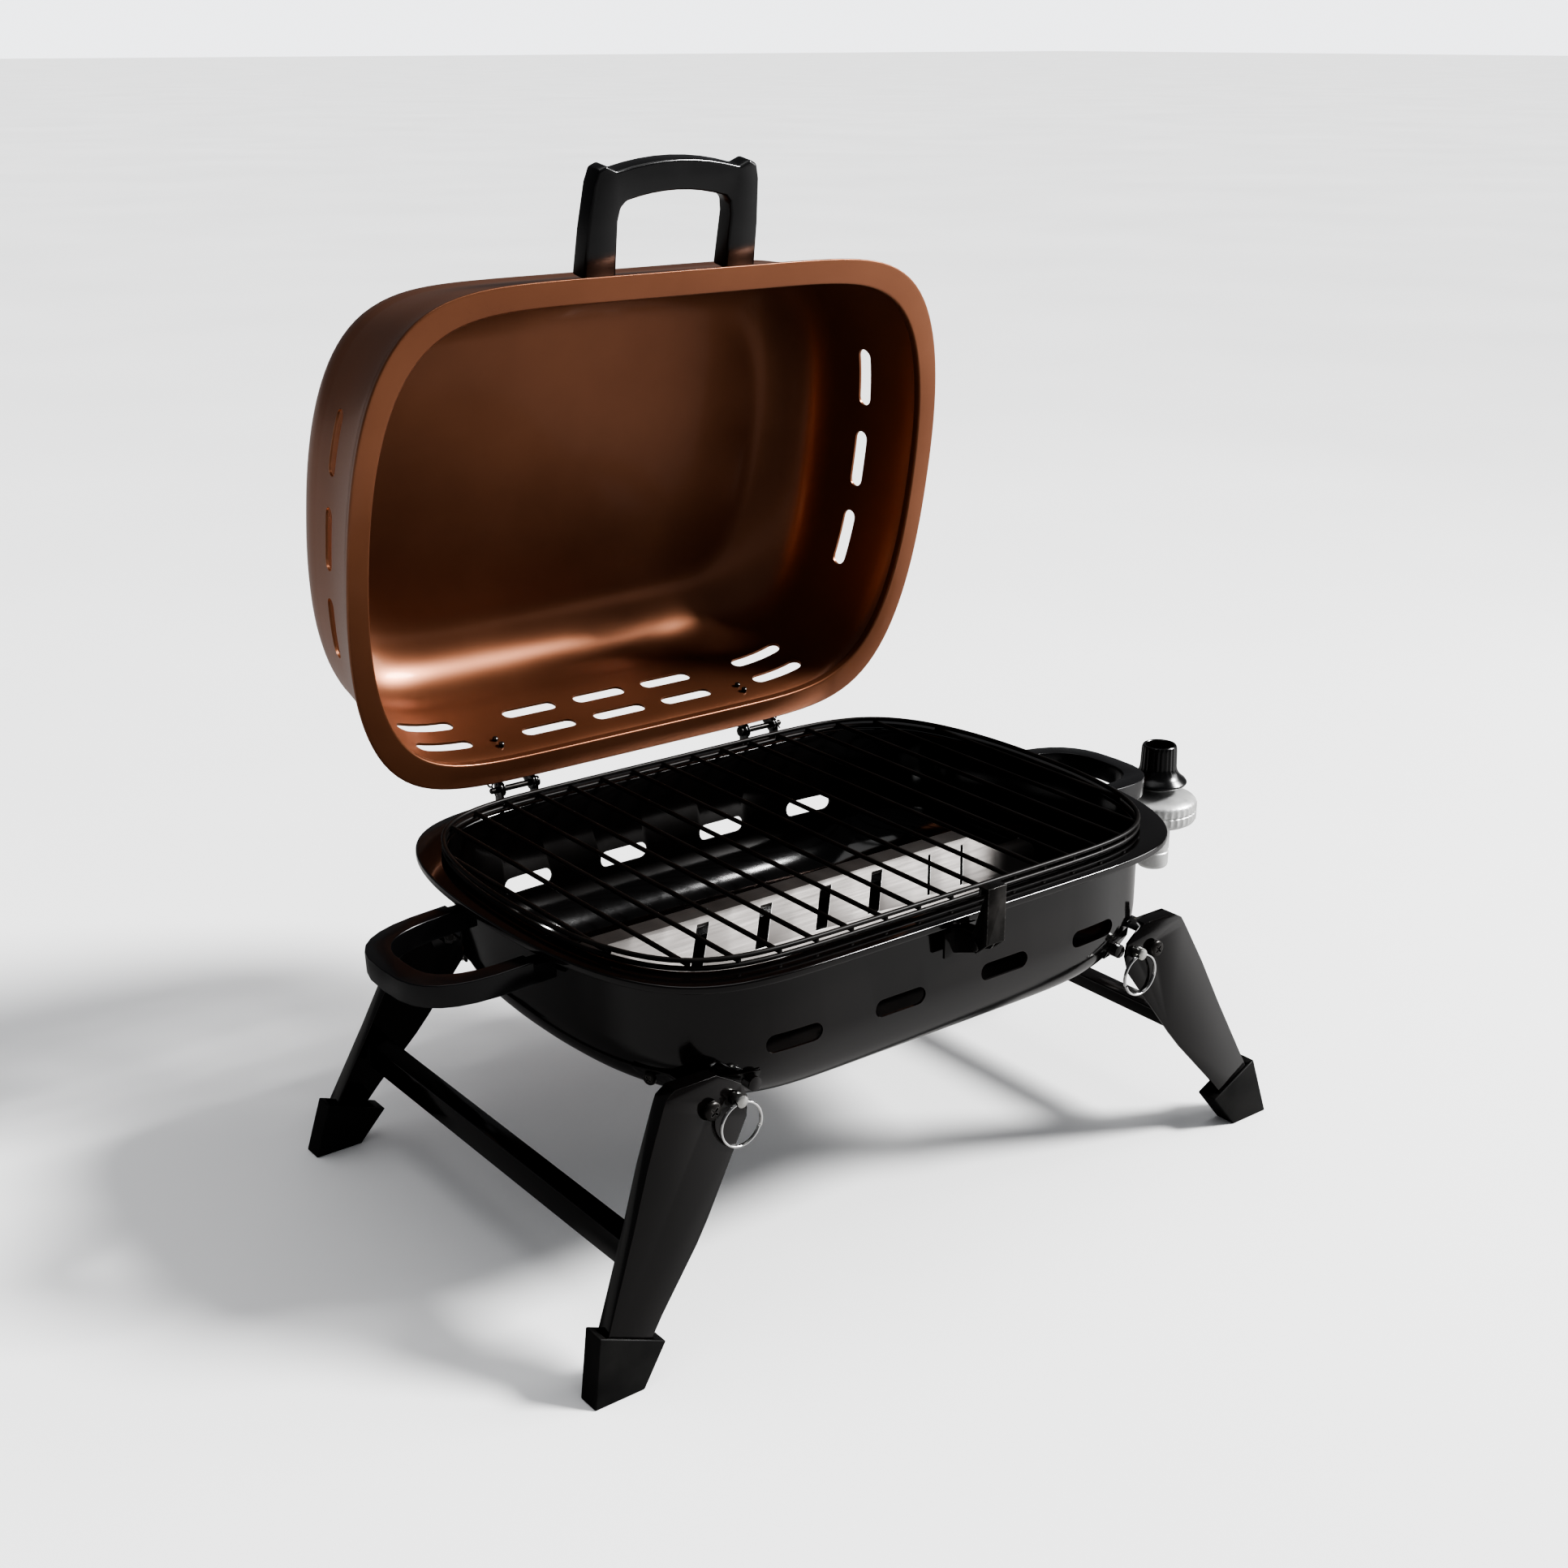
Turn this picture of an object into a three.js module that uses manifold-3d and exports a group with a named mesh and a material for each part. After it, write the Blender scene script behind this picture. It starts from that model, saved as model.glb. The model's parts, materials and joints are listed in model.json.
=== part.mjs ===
// Portable tabletop gas grill: a pressed bowl on four folding legs, a domed lid on two pin hinges,
// a welded wire grate, a heat tent over a burner tube, and a regulator hung on the burner's end.
// Millimetres, +Z up. +X points to the regulator, -Y to the front latch. The lid is open and the legs
// are unfolded. Sizes below are measured from the table, under the centre of the bowl's rim.
import * as THREE from "three";
import { mergeVertices } from "three/addons/utils/BufferGeometryUtils.js";
import Module from "manifold-3d";

const wasm = await Module();
wasm.setup();

// ---- Driving dimensions ----
const GAP = 0.4; // air between two pieces that touch on the real grill
const SHEET = 1.6; // pressed steel of bowl and lid
const RIM_Z = 214.3; // top face of the bowl's flange
const RING_POINTS = 40; // points round an outline

// Outlines are superellipses |x/a|^p + |y/b|^q = 1 with gently bowed ends and long sides.
const OUTLINE_P = 7.3;
const OUTLINE_Q = 2.3;
const FLANGE = { a: 225.5, b: 165.4 };
const FLANGE_INNER = { a: 209.4, b: 147.2 };
const LIP_DROP = 4.6; // height of the flange's turned-down edge
const BOWL_END_X = 207; // outside of the end wall where its lower corner starts
const BOWL_FRONT_Y = 152.5;
const BOWL_BACK_Y = 138.6;
const BOWL_BEND_Z = 165; // height at which the lower corner starts
const BOWL_BOTTOM_Z = 120;
const BOWL_CORNER_X = 58; // how far the lower corner runs in at the ends
const BOWL_CORNER_Y = 35; // and at the front and back

const LID_RIM = { a: 228.6, b: 167.5 };
const LID_OPENING = { a: 214.4, b: 151.4 };
const LID_RETURN = 6; // depth of the lip round the lid's opening
const LID_CORNER_START = 82; // depth at which the top corner starts
const LID_CORNER = 50;
const LID_OPEN_DEG = 79.8;
const HINGE_Y = 174.2;
const HINGE_Z = 218;
const LID_RIM_Z = RIM_Z + GAP; // plane of the lid's rim when it is closed
const HINGE_X = 101.5; // middle of each hinge

const GRATE = { a: 211, b: 148.4 };
const GRATE_WIRE = 1.5; // wire radius
const GRATE_PITCH = 25;
const GRATE_BARS_EACH_SIDE = 8;
const WELD = 0.4; // how deep two welded wires sink into each other

const PIVOT = { x: 175.5, z: 139.2 }; // fold axis of a leg frame, parallel to Y
const LEG_FOOT_Y = 173; // front face of a leg at table height
const LEG_SPLAY = 0.165; // how far it leans in per millimetre of height
const LEG_SHEET = 1.8;
const LEG_FLANGE = 10.5; // depth of a leg's folded edge
const LOCK = { x: 158.4, z: 141 }; // lock pin of a leg
const SIDES = [["left", -1], ["right", 1]];
const ENDS = [["front", 1], ["back", -1]];

const REGULATOR_X = 338;
const BURNER_Z = 150;
const BURNER_RADIUS = 11;

// ---- Solids ----
// A closed geometry as a solid, moved by an optional matrix.
function solid(geometry, matrix) {
  const bare = geometry.index ? geometry.toNonIndexed() : geometry.clone();
  bare.deleteAttribute("normal");
  bare.deleteAttribute("uv");
  if (matrix) bare.applyMatrix4(matrix);
  const merged = mergeVertices(bare, 1e-4);
  const triVerts = new Uint32Array(merged.index.array);
  if (matrix && matrix.determinant() < 0) {
    for (let i = 0; i < triVerts.length; i += 3) {
      [triVerts[i + 1], triVerts[i + 2]] = [triVerts[i + 2], triVerts[i + 1]];
    }
  }
  const vertProperties = merged.attributes.position.array;
  return new wasm.Manifold(new wasm.Mesh({ numProp: 3, vertProperties, triVerts }));
}

function geometryOf(body) {
  const mesh = body.getMesh();
  const geometry = new THREE.BufferGeometry();
  geometry.setAttribute("position", new THREE.BufferAttribute(mesh.vertProperties, 3));
  geometry.setIndex(new THREE.BufferAttribute(mesh.triVerts, 1));
  const flat = geometry.toNonIndexed();
  flat.computeVertexNormals();
  return flat;
}

const unite = (bodies) => bodies.reduce((sum, body) => sum.add(body));
const cut = (body, tools) => tools.reduce((rest, tool) => rest.subtract(tool), body);

function at(x, y, z, rx = 0, ry = 0, rz = 0) {
  const turn = new THREE.Quaternion().setFromEuler(new THREE.Euler(rx, ry, rz));
  return new THREE.Matrix4().compose(new THREE.Vector3(x, y, z), turn, new THREE.Vector3(1, 1, 1));
}

// A box between two corners.
function box(low, high) {
  const size = high.map((value, i) => value - low[i]);
  const mid = high.map((value, i) => (value + low[i]) / 2);
  return solid(new THREE.BoxGeometry(...size), at(...mid));
}

// A cylinder along one axis ("x", "y" or "z") from one end to the other.
function rod(axis, from, to, radius, centre, sides = 14) {
  const turns = { x: [0, 0, -Math.PI / 2], y: [0, 0, 0], z: [Math.PI / 2, 0, 0] };
  const mid = (from + to) / 2;
  const place = { x: [mid, ...centre], y: [centre[0], mid, centre[1]], z: [...centre, mid] };
  const geometry = new THREE.CylinderGeometry(radius, radius, Math.abs(to - from), sides);
  return solid(geometry, at(...place[axis], ...turns[axis]));
}

// A polygon given as [u, v] points, extruded along its own +Z.
function plate(points, thickness, holes = []) {
  const shape = new THREE.Shape(points.map(([u, v]) => new THREE.Vector2(u, v)));
  for (const hole of holes) {
    shape.holes.push(new THREE.Path(hole.map(([u, v]) => new THREE.Vector2(u, v))));
  }
  return new THREE.ExtrudeGeometry(shape, { depth: thickness, bevelEnabled: false });
}

// Turns (u, v, depth) into (x, y, z) for a plate that lies in the plane named.
const LAY = {
  xz: new THREE.Matrix4().set(1, 0, 0, 0, 0, 0, 1, 0, 0, 1, 0, 0, 0, 0, 0, 1),
  yz: new THREE.Matrix4().set(0, 0, 1, 0, 1, 0, 0, 0, 0, 1, 0, 0, 0, 0, 0, 1),
};
function laidPlate(plane, points, from, to, holes) {
  const shift = plane === "xz" ? at(0, from, 0) : at(from, 0, 0);
  return solid(plate(points, to - from, holes), shift.multiply(LAY[plane]));
}

const arc = (cx, cy, radius, fromDeg, toDeg, steps) =>
  Array.from({ length: steps + 1 }, (_, i) => {
    const angle = THREE.MathUtils.degToRad(fromDeg + ((toDeg - fromDeg) * i) / steps);
    return [cx + radius * Math.cos(angle), cy + radius * Math.sin(angle)];
  });

// A slot with round ends: a prism along the normal of the plane it is cut in.
const ROUND_STEPS = 4;
function slotOutline(cx, cy, length, width) {
  const radius = width / 2;
  const reach = length / 2 - radius;
  return [
    ...arc(cx + reach, cy, radius, -90, 90, ROUND_STEPS),
    ...arc(cx - reach, cy, radius, 90, 270, ROUND_STEPS),
  ];
}

// Unit outline with its points spaced evenly along the flange.
const UNIT_RING = (() => {
  const fine = 1440;
  const dense = Array.from({ length: fine + 1 }, (_, i) => {
    const angle = (2 * Math.PI * i) / fine;
    const [c, s] = [Math.cos(angle), Math.sin(angle)];
    const u = Math.sign(c) * Math.abs(c) ** (2 / OUTLINE_P);
    const v = Math.sign(s) * Math.abs(s) ** (2 / OUTLINE_Q);
    return new THREE.Vector3(u * FLANGE.a, v * FLANGE.b, 0);
  });
  const path = new THREE.CurvePath();
  for (let i = 0; i < fine; i += 1) path.add(new THREE.LineCurve3(dense[i], dense[i + 1]));
  return Array.from({ length: RING_POINTS }, (_, i) => {
    const point = path.getPoint(i / RING_POINTS);
    return [point.x / FLANGE.a, point.y / FLANGE.b];
  });
})();

// A level ring: half length a, front and back half widths, height z.
function ring(a, front, back, z) {
  return UNIT_RING.map(([u, v]) => new THREE.Vector3(u * a, v * (v < 0 ? front : back), z));
}

// A solid through level rings, each with the same number of points, from the lowest to the highest.
function loft(rings) {
  const count = rings[0].length;
  const position = rings.flat().flatMap((point) => point.toArray());
  const index = [];
  for (let k = 0; k + 1 < rings.length; k += 1) {
    for (let i = 0; i < count; i += 1) {
      const [p, q] = [k * count + i, k * count + ((i + 1) % count)];
      index.push(p, q, q + count, p, q + count, p + count);
    }
  }
  const top = (rings.length - 1) * count;
  for (let i = 1; i + 1 < count; i += 1) {
    index.push(0, i + 1, i, top, top + i, top + i + 1);
  }
  const geometry = new THREE.BufferGeometry();
  geometry.setAttribute("position", new THREE.Float32BufferAttribute(position, 3));
  geometry.setIndex(index);
  return solid(geometry);
}

const prism = (a, b, low, high) => loft([ring(a, b, b, low), ring(a, b, b, high)]);

// ---- Materials ----
const material = (color, roughness, metalness) =>
  new THREE.MeshStandardMaterial({ color, roughness, metalness });
const enamelBlack = () => material(0x17120f, 0.22, 0.3);
const enamelBrown = () => material(0x7a4f36, 0.3, 0.4);
const blackPlastic = () => material(0x121212, 0.45, 0);
const rubber = () => material(0x151515, 0.8, 0);
const steel = () => material(0xb9b9b6, 0.25, 1);
const castZinc = () => material(0xbfc0bd, 0.45, 0.7);
const brass = () => material(0xb08d4a, 0.3, 1);

const grill = new THREE.Group();
const openLid = new THREE.Group(); // its origin is the hinge axis
openLid.position.set(0, HINGE_Y, HINGE_Z);
openLid.rotation.x = -THREE.MathUtils.degToRad(LID_OPEN_DEG);
grill.add(openLid);

function piece(group, name, body, look) {
  const mesh = new THREE.Mesh(geometryOf(body), look);
  mesh.name = name;
  group.add(mesh);
}
// A piece of the lid, given where it is when the lid is closed.
function lidPiece(name, body, look) {
  piece(openLid, name, body.translate([0, -HINGE_Y, -HINGE_Z]), look);
}

// ---- Bowl ----
const lerp = THREE.MathUtils.lerp;
const quarter = (share) => 1 - Math.sqrt(Math.max(0, 1 - share * share));

// Rings of the bowl's outside from its bottom to topZ, moved outward by grow.
function bowlRings(topZ, grow) {
  const corner = [90, 72, 54, 36, 18, 0].map((deg) => {
    const angle = THREE.MathUtils.degToRad(deg);
    const drop = Math.sin(angle);
    const runIn = 1 - Math.cos(angle);
    const out = grow * Math.cos(angle);
    const z = BOWL_BEND_Z - (BOWL_BEND_Z - BOWL_BOTTOM_Z) * drop - grow * drop;
    return ring(
      BOWL_END_X - BOWL_CORNER_X * runIn + out,
      BOWL_FRONT_Y - BOWL_CORNER_Y * runIn + out,
      BOWL_BACK_Y - BOWL_CORNER_Y * runIn + out,
      z,
    );
  });
  const walls = [194, topZ].map((z) => {
    const share = (z - BOWL_BEND_Z) / (RIM_Z - BOWL_BEND_Z);
    return ring(
      lerp(BOWL_END_X, FLANGE_INNER.a + SHEET, share) + grow,
      lerp(BOWL_FRONT_Y, FLANGE_INNER.b + SHEET, share) + grow,
      lerp(BOWL_BACK_Y, FLANGE_INNER.b + SHEET, share) + grow,
      z,
    );
  });
  return [...corner, ...walls];
}
const bowlBody = (topZ, grow) => loft(bowlRings(topZ, grow));

const BOWL_SLOT = { z: 165, length: 38, width: 11, xs: [-117.5, -41, 41, 117.5] };
function makeBowl() {
  const lipZ = RIM_Z - LIP_DROP;
  const flange = cut(prism(FLANGE.a, FLANGE.b, lipZ, RIM_Z), [
    prism(FLANGE.a - SHEET, FLANGE.b - SHEET, lipZ - 1, RIM_Z - SHEET),
  ]);
  const outside = bowlBody(RIM_Z - SHEET / 2, 0);
  const slots = BOWL_SLOT.xs.map((x) =>
    laidPlate("xz", slotOutline(x, BOWL_SLOT.z, BOWL_SLOT.length, BOWL_SLOT.width), -170, 170));
  const burnerHole = rod("x", 150, 230, BURNER_RADIUS + GAP, [0, BURNER_Z], 20);
  return cut(flange.add(outside), [bowlBody(RIM_Z + 5, -SHEET), ...slots, burnerHole]);
}
piece(grill, "bowl", makeBowl(), enamelBlack());

// ---- Lid ----
// Rings of the lid's outside from its rim up to the top panel, moved outward by grow.
function lidRings(startDepth, grow) {
  const walls = [
    [0, 0, 0, 0],
    [4, 0.4, 0.7, 1.2],
    [20, 7.6, 8.5, 10.4],
    [50, 14.6, 14.6, 11.9],
    [LID_CORNER_START, 18, 23, 14],
  ].map(([depth, end, front, back]) =>
    ring(
      LID_RIM.a - end + grow,
      LID_RIM.b - front + grow,
      LID_RIM.b - back + grow,
      LID_RIM_Z + Math.max(depth, startDepth),
    ));
  const [endX, frontY, backY] = [LID_RIM.a - 18, LID_RIM.b - 23, LID_RIM.b - 14];
  const corner = [18, 36, 54, 72, 90].map((deg) => {
    const angle = THREE.MathUtils.degToRad(deg);
    const runIn = LID_CORNER * (1 - Math.cos(angle));
    const out = grow * Math.cos(angle);
    const rise = Math.sin(angle) * (LID_CORNER + grow);
    const z = LID_RIM_Z + LID_CORNER_START + rise;
    return ring(endX - runIn + out, frontY - runIn * 1.1 + out, backY - runIn + out, z);
  });
  return [...walls, ...corner];
}

const LID_END_SLOT = { depth: 57, length: 42, width: 11, ys: [-61, 1, 62] };
const LID_BACK_SLOT = { depths: [35, 62], length: 42, width: 11, xs: [-139, -57.5, 0, 57.5, 139] };
const HINGE_SCREW_DEPTHS = { lower: 23.6, upper: 32 };
const SCREW_RADIUS = 1.9;
function makeLid() {
  const inside = lidRings(SHEET, -SHEET);
  const opening = prism(
    LID_OPENING.a + SHEET, LID_OPENING.b + SHEET, LID_RIM_Z - 1, LID_RIM_Z + SHEET + 0.1);
  const lip = cut(
    prism(LID_OPENING.a + SHEET + 0.1, LID_OPENING.b + SHEET + 0.1, LID_RIM_Z, LID_RIM_Z + LID_RETURN),
    [prism(LID_OPENING.a, LID_OPENING.b, LID_RIM_Z - 1, LID_RIM_Z + LID_RETURN + 1)],
  );
  const shell = cut(loft(lidRings(0, 0)), [loft(inside), opening]).add(lip);
  const endSlots = LID_END_SLOT.ys.map((y) => {
    const { depth, length, width } = LID_END_SLOT;
    return laidPlate("yz", slotOutline(y, LID_RIM_Z + depth, length, width), -240, 240);
  });
  const backSlots = LID_BACK_SLOT.depths.flatMap((depth) =>
    LID_BACK_SLOT.xs.map((x) => {
      const { length, width } = LID_BACK_SLOT;
      return laidPlate("xz", slotOutline(x, LID_RIM_Z + depth, length, width), 100, 180);
    }));
  const screwHoles = SIDES.flatMap(([, side]) =>
    Object.values(HINGE_SCREW_DEPTHS).map((depth) =>
      rod("y", 130, 180, SCREW_RADIUS + GAP, [side * HINGE_X, LID_RIM_Z + depth], 10)));
  return cut(shell, [...endSlots, ...backSlots, ...screwHoles]);
}
lidPiece("lid", makeLid(), enamelBrown());

// The lid's handle: two posts joined by an arched grip, raised a little at the tips.
const LID_HANDLE = { depth: 16, thickness: 14, baseY: -161.6 };
function makeLidHandle() {
  const gripArch = (half, endY, midY, steps) =>
    Array.from({ length: steps + 1 }, (_, i) => {
      const x = lerp(-half, half, i / steps);
      return [x, midY + (endY - midY) * (x / half) ** 2];
    });
  const outline = [
    [65, LID_HANDLE.baseY], [64, -190], [61.5, -218], [59, -227], [53.5, -229.5],
    ...gripArch(46, -226, -232, 8).reverse(),
    [-53.5, -229.5], [-59, -227], [-61.5, -218], [-64, -190], [-65, LID_HANDLE.baseY],
  ];
  const window = [
    [41, LID_HANDLE.baseY + 10], [42, -180], [42.5, -196], [41, -204],
    ...gripArch(37, -208, -213, 8).reverse(),
    [-41, -204], [-42.5, -196], [-42, -180], [-41, LID_HANDLE.baseY + 10],
  ];
  const low = LID_RIM_Z + LID_HANDLE.depth;
  const body = solid(plate(outline.reverse(), LID_HANDLE.thickness), at(0, 0, low));
  return body.subtract(solid(plate(window, LID_HANDLE.thickness + 2), at(0, 0, low - 1)));
}
lidPiece("lid_handle", makeLidHandle(), blackPlastic());

// ---- Cooking grate ----
// Bars lie between an upper and a lower ring of the same outline.
const GRATE_BAR_Z = RIM_Z + GAP + 3 * GRATE_WIRE - WELD;
function wireRing(z) {
  const sides = 6;
  const centre = ring(GRATE.a, GRATE.b, GRATE.b, z);
  const position = [];
  centre.forEach((point, i) => {
    const next = centre[(i + 1) % RING_POINTS];
    const last = centre[(i + RING_POINTS - 1) % RING_POINTS];
    const outward = new THREE.Vector3().subVectors(next, last).normalize();
    outward.set(outward.y, -outward.x, 0);
    for (let k = 0; k < sides; k += 1) {
      const angle = (2 * Math.PI * k) / sides;
      const out = outward.clone().multiplyScalar(GRATE_WIRE * Math.cos(angle));
      position.push(point.x + out.x, point.y + out.y, z + GRATE_WIRE * Math.sin(angle));
    }
  });
  const index = [];
  for (let i = 0; i < RING_POINTS; i += 1) {
    for (let k = 0; k < sides; k += 1) {
      const [p, q] = [i * sides + k, i * sides + ((k + 1) % sides)];
      const [r, s] = [p, q].map((n) => (n + sides) % (RING_POINTS * sides));
      index.push(p, r, s, p, s, q);
    }
  }
  const geometry = new THREE.BufferGeometry();
  geometry.setAttribute("position", new THREE.Float32BufferAttribute(position, 3));
  geometry.setIndex(index);
  return solid(geometry);
}

// Half the width of an outline at a given x.
const halfWidth = (outline, x) =>
  outline.b * (1 - Math.abs(x / outline.a) ** OUTLINE_P) ** (1 / OUTLINE_Q);

function makeGrate() {
  const ringRise = 2 * GRATE_WIRE - WELD;
  const rings = [-ringRise, ringRise].map((rise) => wireRing(GRATE_BAR_Z + rise));
  const bars = [];
  for (let n = -GRATE_BARS_EACH_SIDE; n <= GRATE_BARS_EACH_SIDE; n += 1) {
    const x = n * GRATE_PITCH;
    const reach = halfWidth(GRATE, x) + GRATE_WIRE / 2;
    bars.push(rod("y", -reach, reach, GRATE_WIRE, [x, GRATE_BAR_Z], 6));
  }
  return unite([...rings, ...bars]);
}
piece(grill, "cooking_grate", makeGrate(), steel());

// ---- Heat tent and burner ----
const TENT = {
  baseZ: 150, topZ: 179.5, baseX: 200, baseFront: 36, baseBack: 36,
  topLeft: -151, topRight: 146, topFront: 8, topBack: 7, sheet: 1,
};
function makeTent() {
  const frustum = (grow) => {
    const corners = (left, right, front, back, z) => [
      [left - grow, -front - grow], [right + grow, -front - grow],
      [right + grow, back + grow], [left - grow, back + grow],
    ].map(([x, y]) => new THREE.Vector3(x, y, z));
    return loft([
      corners(-TENT.baseX, TENT.baseX, TENT.baseFront, TENT.baseBack, TENT.baseZ),
      corners(TENT.topLeft, TENT.topRight, TENT.topFront, TENT.topBack, TENT.topZ + grow),
    ]);
  };
  const hollow = frustum(-TENT.sheet).translate([0, 0, -0.4]);
  // Each flame slot runs down the front slope and slants to the left.
  const slots = [-85, -36, 12, 55].map((x) =>
    solid(plate([[x, -11], [x + 9, -11], [x - 9, -29], [x - 18, -29]].reverse(), 80), at(0, 0, 120)));
  const cuts = [104, 133].map((x) =>
    solid(plate([[x, -11], [x + 2, -11], [x - 14, -29], [x - 16, -29]].reverse(), 80), at(0, 0, 120)));
  const burnerNotch = box([150, -BURNER_RADIUS - 1, 130], [230, BURNER_RADIUS + 1, 163]);
  return cut(frustum(0), [hollow, ...slots, ...cuts, burnerNotch]);
}
piece(grill, "heat_tent", makeTent(), steel());

const BURNER = { left: -150, right: 297, wall: 1.5, bowlFloor: BOWL_BOTTOM_Z + SHEET };
function makeBurner() {
  const tube = rod("x", BURNER.left, BURNER.right, BURNER_RADIUS, [0, BURNER_Z], 16);
  const bore = rod("x", BURNER.left + 3, BURNER.right + 1, BURNER_RADIUS - BURNER.wall, [0, BURNER_Z], 16);
  const foot = box([-142, -9, BURNER.bowlFloor + GAP], [-126, 9, BURNER_Z - BURNER_RADIUS + 0.8]);
  const ports = [-110, -66, -22, 22, 66, 110].map((x) =>
    box([x - 9, -20, BURNER_Z + 3], [x + 9, 20, BURNER_Z + 4.5]));
  const airSlots = [250, 272].map((x) =>
    box([x - 4, -20, BURNER_Z - 3], [x + 4, 20, BURNER_Z + 3]));
  return cut(tube.add(foot), [bore, ...ports, ...airSlots]);
}
piece(grill, "burner_tube", makeBurner(), steel());

// ---- Regulator ----
const lathe = (profile, sides) =>
  solid(
    new THREE.LatheGeometry(profile.map(([r, z]) => new THREE.Vector2(r, z)), sides),
    at(REGULATOR_X, 0, 0, Math.PI / 2),
  );
function makeRegulatorBody() {
  const profile = [
    [0, 108], [10, 108], [11.5, 110], [11.5, 138], [15, 142], [26, 145], [29.5, 149],
    [29.5, 160], [28, 162.5], [20, 166], [10, 168.5], [9.5, 172.4], [0, 172.4],
  ];
  const socket = rod("x", 300, 320, 5 + GAP, [0, BURNER_Z + 3], 14);
  return lathe(profile, 28).subtract(socket);
}
piece(grill, "regulator_body", makeRegulatorBody(), castZinc());

function makeKnob() {
  const profile = [
    [0, 173], [19, 173], [21.4, 174.5], [20, 177], [15.5, 181], [13.4, 186], [13, 200],
    [12, 203], [10.4, 203], [9.6, 195], [0, 194],
  ];
  return lathe(profile, 24);
}
piece(grill, "regulator_knob", makeKnob(), blackPlastic());

const outlet = rod("x", 288, 319.5, 5, [0, BURNER_Z + 3], 14)
  .add(rod("x", BURNER.right + 0.6, 304, 9, [0, BURNER_Z + 1.5], 6));
piece(grill, "regulator_outlet", outlet, brass());

// ---- Side handles ----
const SIDE_HANDLE = {
  rootX: 225, reach: 68, half: 51, tipBand: 14.3, sideBand: 12.3,
  topZ: 205, thickness: 14, droopDeg: 3, neckX: 210.2,
};
function makeSideHandle() {
  const { rootX, reach, half, tipBand, sideBand, topZ, thickness, neckX } = SIDE_HANDLE;
  const loop = (a, b, steps) =>
    Array.from({ length: steps + 1 }, (_, i) => {
      const angle = Math.PI * (i / steps - 0.5);
      const [c, s] = [Math.cos(angle), Math.sin(angle)];
      return [rootX + a * Math.abs(c) ** (2 / 3), b * Math.sign(s) * Math.abs(s) ** (2 / 3)];
    });
  const outer = [[neckX, -half], ...loop(reach, half, 16), [neckX, half]];
  const inner = [[neckX, half - sideBand],
    ...loop(reach - tipBand, half - sideBand, 16).reverse(), [neckX, sideBand - half]];
  const tilt = at(rootX, 0, topZ, 0, THREE.MathUtils.degToRad(SIDE_HANDLE.droopDeg));
  const band = solid(plate([...outer, ...inner], thickness), tilt.multiply(at(-rootX, 0, -thickness)));
  return cut(band, [bowlBody(RIM_Z - 1, GAP), box([200, -60, 203.5], [224, 60, 215])]);
}
// A piece made for the right side, mirrored to the side and end asked for.
const mirrored = (body, side, end) => body.scale([side, end, 1]);
for (const [name, side] of SIDES) {
  piece(grill, `side_handle_${name}`, mirrored(makeSideHandle(), side, 1), blackPlastic());
}

// ---- Legs ----
// Everything below is made for the front right corner in (x, height, depth behind the leg's face),
// then sheared so that the leg leans in, and mirrored to its own corner.
const lean = new THREE.Matrix4().set(1, 0, 0, 0, 0, LEG_SPLAY, 1, -LEG_FOOT_Y, 0, 1, 0, 0, 0, 0, 0, 1);
function leaning(points, from, to, holes) {
  return solid(plate(points, to - from, holes), lean.clone().multiply(at(0, 0, from)));
}
const faceY = (z) => -LEG_FOOT_Y + LEG_SPLAY * z;

// Outer edge of a leg from its top corner to the foot, then its inner edge back up.
const LEG_OUTER = [
  [159, 151], [169, 156.5], [196, 156.5], [203, 152.5], [206, 147], [220, 118], [233, 87],
  [257, 34], [267, 9],
];
const LEG_INNER = [[242, 9], [221, 36], [194, 67], [185, 79], [160, 116], [152, 128], [150, 139], [153, 147]];
// The same outer edge, one sheet thickness in: the inside of the folded flange.
const LEG_FOLD = [
  [150, 154.7], [195.3, 154.7], [201.6, 151.2], [204.3, 146.2], [218.3, 117.2], [231.3, 86.3], [255.3, 33.3],
  [266, 7],
];
const LEG_OPEN_SIDE = [[225, 7], [140, 100], [140, 154.7]];
const BOLT_RADIUS = 3;
const PIN_RADIUS = 2.4;
function makeLeg() {
  const bar = leaning([...LEG_OUTER, ...LEG_INNER], 0, LEG_FLANGE);
  const channel = leaning([...LEG_FOLD, ...LEG_OPEN_SIDE], LEG_SHEET, LEG_FLANGE + 1);
  const holes = [
    rod("y", -170, -120, BOLT_RADIUS + GAP + 0.2, [PIVOT.x, PIVOT.z], 14),
    rod("y", -170, -120, PIN_RADIUS + GAP, [LOCK.x, LOCK.z], 12),
  ];
  return cut(bar, [channel, ...holes]);
}

// A rubber cap that the foot of a leg is pushed into.
function makeFoot() {
  const outside = [[271, 0], [262.5, 38.4], [222, 22], [239, 0]];
  const socket = [[268.3, 8], [258.5, 34], [252, 50], [212, 45], [220.4, 36], [241.8, 8]];
  const cap = leaning(outside, -2.2, LEG_FLANGE + 2.2);
  return cap.subtract(leaning(socket, -GAP, LEG_FLANGE + GAP));
}

// An angle bar between the two legs of one side.
const CROSSBAR = { innerX: 215, outerX: 229, topZ: 71.5, bottomZ: 54, sheet: 1.5 };
function makeCrossbar() {
  const { innerX, outerX, topZ, bottomZ, sheet } = CROSSBAR;
  const angle = [
    [innerX, topZ], [outerX, topZ], [outerX, bottomZ], [outerX - sheet, bottomZ],
    [outerX - sheet, topZ - sheet], [innerX, topZ - sheet],
  ];
  const reach = -faceY(topZ) - LEG_SHEET - GAP;
  return laidPlate("xz", angle, -reach, reach);
}

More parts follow.
